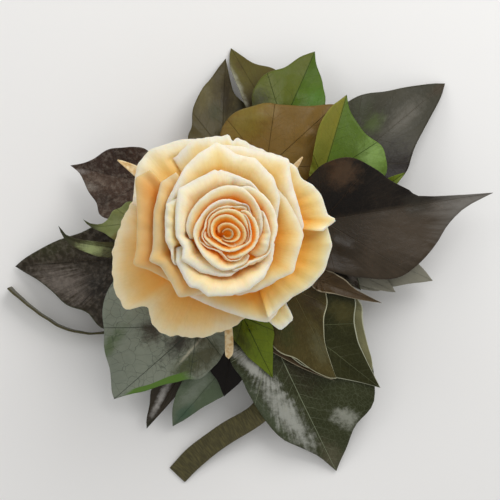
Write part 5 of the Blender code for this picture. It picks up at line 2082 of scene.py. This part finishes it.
@dataclass
class Hub:
    """The bound stems and the disc that backs the bouquet."""

    workshop: Workshop
    tape: bpy.types.Material
    felt: bpy.types.Material
    wraps: float = 5.0
    edge: float = 0.5

    def rounded(self, radius: float, foot: float, height: float, rows: int) -> Array:
        """The profile of a short cylinder with rounded edges.

        Args:
            radius: Its radius.
            foot: Height of its underside.
            height: Its height.
            rows: How many points its wall has.

        Returns:
            (radius, height) points from its top to its foot.
        """
        corner = np.radians(np.linspace(0.0, 90.0, 6))
        inset, drop = self.edge * (1 - np.sin(corner)), self.edge * (1 - np.cos(corner))
        top = np.stack([radius - inset, foot + height - drop], -1)
        wall = np.linspace(foot + height - self.edge, foot + self.edge, rows + 2)[1:-1]
        side = np.stack([np.full(rows, radius), wall], -1)
        bottom = top[::-1] * (1, -1) + (0, 2 * foot + height)
        middle = np.array([[0.5 * radius, foot + height]])
        return np.concatenate([middle, top, side, bottom, middle * (1, -1) + (0, 2 * foot + height)])

    def build(self) -> None:
        """Makes the wound hub and the felt disc."""
        profile = self.rounded(HUB_RADIUS, HUB_FOOT, HUB_HEIGHT, 30)
        around = np.linspace(0.0, 1.0, 72, endpoint=False)[None, :]
        turns = (profile[:, 1, None] - HUB_FOOT) / HUB_HEIGHT * self.wraps + around
        lobes = -0.28 * (turns % 1.0) ** 2
        self.workshop.piece("hub_binding", turned_skin(profile, 72, lobes), self.tape, "stem_binding")
        disc = turned_skin(self.rounded(DISC_RADIUS, DISC_UNDERSIDE, DISC_THICKNESS, 4), 96)
        self.workshop.piece("disc_felt", disc, self.felt, "backing_disc")


# ---------------- band tails

# Stations of a tail: x, y and z of its middle line, and how far its width leans from level, in degrees.
LEFT_TAIL = (
    (-12.5, 4.5, 9.6, 0), (-20.5, -4.5, 9.6, 0), (-25.5, -10.5, 8.2, 30), (-31.0, -15.0, 4.6, 75),
    (-41.5, -18.6, 3.0, 90), (-51.3, -17.4, 3.0, 90), (-61.5, -11.0, 3.0, 90), (-67.0, -6.0, 2.95, 86),
)
LOWER_TAIL = (
    (-8.0, 3.0, 9.6, 0), (-4.0, -5.0, 9.6, 0), (2.0, -16.0, 9.0, 2), (6.0, -26.0, 8.4, 6),
    (6.6, -34.0, 7.6, 8), (2.2, -40.8, 6.4, 8), (-7.2, -46.9, 3.8, 5), (-15.1, -53.0, 1.6, 2),
    (-20.3, -58.4, 0.3, 0),
)


@dataclass
class BandTail:
    """One flat end of the crepe band, carried along its route."""

    workshop: Workshop
    name: str
    stations: tuple[tuple[float, float, float, float], ...]
    tape: bpy.types.Material
    width: float = 6.0
    thickness: float = 0.55
    segments: int = 120
    columns: int = 14

    def build(self) -> None:
        """Makes the tail as a sheet whose width leans as its stations say."""
        rng = np.random.default_rng(len(self.name))
        route = route_through(np.array(self.stations), self.segments)
        middle, lean = route[:, :3], np.radians(route[:, 3])
        ahead = unit(np.gradient(middle, axis=0))
        level = unit(np.cross((0.0, 0.0, 1.0), ahead))
        upright = np.cross(ahead, level)
        across = np.cos(lean)[:, None] * level + np.sin(lean)[:, None] * upright
        through = np.cross(ahead, across)
        side = np.linspace(-1.0, 1.0, self.columns + 1)
        gone = np.concatenate([[0.0], np.cumsum(np.linalg.norm(np.diff(middle, axis=0), axis=1))])
        half = 0.5 * self.width - 0.12 + 0.10 * waves(gone / 30.0, rng, (1.0, 2.3))
        grid = middle[:, None] + (half[:, None] * side[None, :])[..., None] * across[:, None]
        wrinkle = 0.10 * waves(gone / 18.0, rng, (1.0, 2.1, 3.7))[:, None] * side[None, :] ** 2
        grid = grid + wrinkle[..., None] * through[:, None]
        cloth = np.stack([
            np.broadcast_to(gone[:, None], grid.shape[:2]),
            half[:, None] * side[None, :],
            np.zeros(grid.shape[:2]),
        ], axis=-1)
        skin = sheet_skin(grid, np.full(grid.shape[:2], self.thickness), {"cloth": cloth})
        node = self.name.replace("tail", "band_tail")
        self.workshop.piece(self.name, skin, self.tape, node)


# ---------------- studio


@dataclass(frozen=True)
class Softbox:
    """A square soft light: its share of the floor's light, its place and its size."""

    name: str
    share: float
    place: tuple[float, float, float]
    size: float


@dataclass(frozen=True)
class Studio:
    """A pale floor, a big soft light from the upper right, a fill from the upper left, and the camera."""

    workshop: Workshop
    floor_colour: str = "efeeec"
    floor_reach: float = 1.5
    floor_gap: float = 0.0001
    sky: float = 0.56
    boxes: tuple[Softbox, ...] = (
        Softbox("key", 0.36, (180.0, 280.0, 330.0), 300.0),
        Softbox("fill", 0.08, (-330.0, 240.0, 380.0), 240.0),
    )
    aim: tuple[float, float, float] = (0.0, 4.48, 10.0)
    view_height: float = 600.0
    view_width: float = 140.0

    def build(self) -> None:
        """Makes the floor, the lights, the world and the camera."""
        scene = bpy.context.scene
        scene.view_settings.view_transform = "Standard"
        self.floor()
        for box in self.boxes:
            self.light(box)
        world = bpy.data.worlds.new("pale_room")
        world.use_nodes = True
        world.node_tree.nodes["Background"].inputs["Color"].default_value = linear("ffffff")
        world.node_tree.nodes["Background"].inputs["Strength"].default_value = self.sky
        scene.world = world
        lens = bpy.data.cameras.new("camera")
        lens.sensor_width = 36.0
        lens.lens = 36.0 * self.view_height / self.view_width
        camera = bpy.data.objects.new("camera", lens)
        camera.location = self.workshop.to_metres(np.array([self.aim[0], self.aim[1], self.view_height]))
        scene.collection.objects.link(camera)
        scene.camera = camera

    def floor(self) -> None:
        """A plain matt floor just under the bouquet."""
        mesh = bpy.data.meshes.new("floor")
        half = self.floor_reach
        corners = [(-half, -half, 0.0), (half, -half, 0.0), (half, half, 0.0), (-half, half, 0.0)]
        mesh.from_pydata(corners, [], [(0, 1, 2, 3)])
        thing = bpy.data.objects.new("floor", mesh)
        thing.location.z = cad_box[0].z - self.floor_gap
        paint = Paint.named("pale_floor")
        floor = paint.finish(Base_Color=linear(self.floor_colour), Roughness=0.9, Specular_IOR_Level=0.1)
        mesh.materials.append(floor)
        bpy.context.scene.collection.objects.link(thing)

    def light(self, box: Softbox) -> None:
        """A soft light whose power gives the floor its share of the plain level.

        Args:
            box: The light.
        """
        place = self.workshop.to_metres(np.array(box.place))
        aim = self.workshop.to_metres(np.array(self.aim))
        distance = float(np.linalg.norm(place - aim))
        slant = float((place - aim)[2] / distance)
        lamp = bpy.data.lights.new(box.name, "AREA")
        lamp.shape = "SQUARE"
        lamp.size = box.size * MM
        lamp.energy = box.share * math.pi**2 * distance**2 / slant
        thing = bpy.data.objects.new(box.name, lamp)
        thing.location = place
        thing.rotation_euler = Vector(place - aim).to_track_quat("Z", "Y").to_euler()
        bpy.context.scene.collection.objects.link(thing)


def main() -> None:
    """Builds the bouquet and its studio."""
    logging.basicConfig(level=logging.INFO, format="%(name)s: %(message)s")
    workshop = Workshop.at_disc()
    tape = ClothFinish("olive_crepe_tape", "58522f", "3f3a20", crease=0.5, depth=0.2).material()
    felt = ClothFinish("olive_felt", "4c4728", "38341c", crease=0.8, depth=0.3).material()
    rosette = Rose(workshop).build()
    Foliage(workshop).build()
    Calyx(workshop, rosette).build()
    Hub(workshop, tape, felt).build()
    BandTail(workshop, "tail_left", LEFT_TAIL, tape).build()
    BandTail(workshop, "tail_lower", LOWER_TAIL, tape).build()
    Studio(workshop).build()


if __name__ == "__main__":
    main()
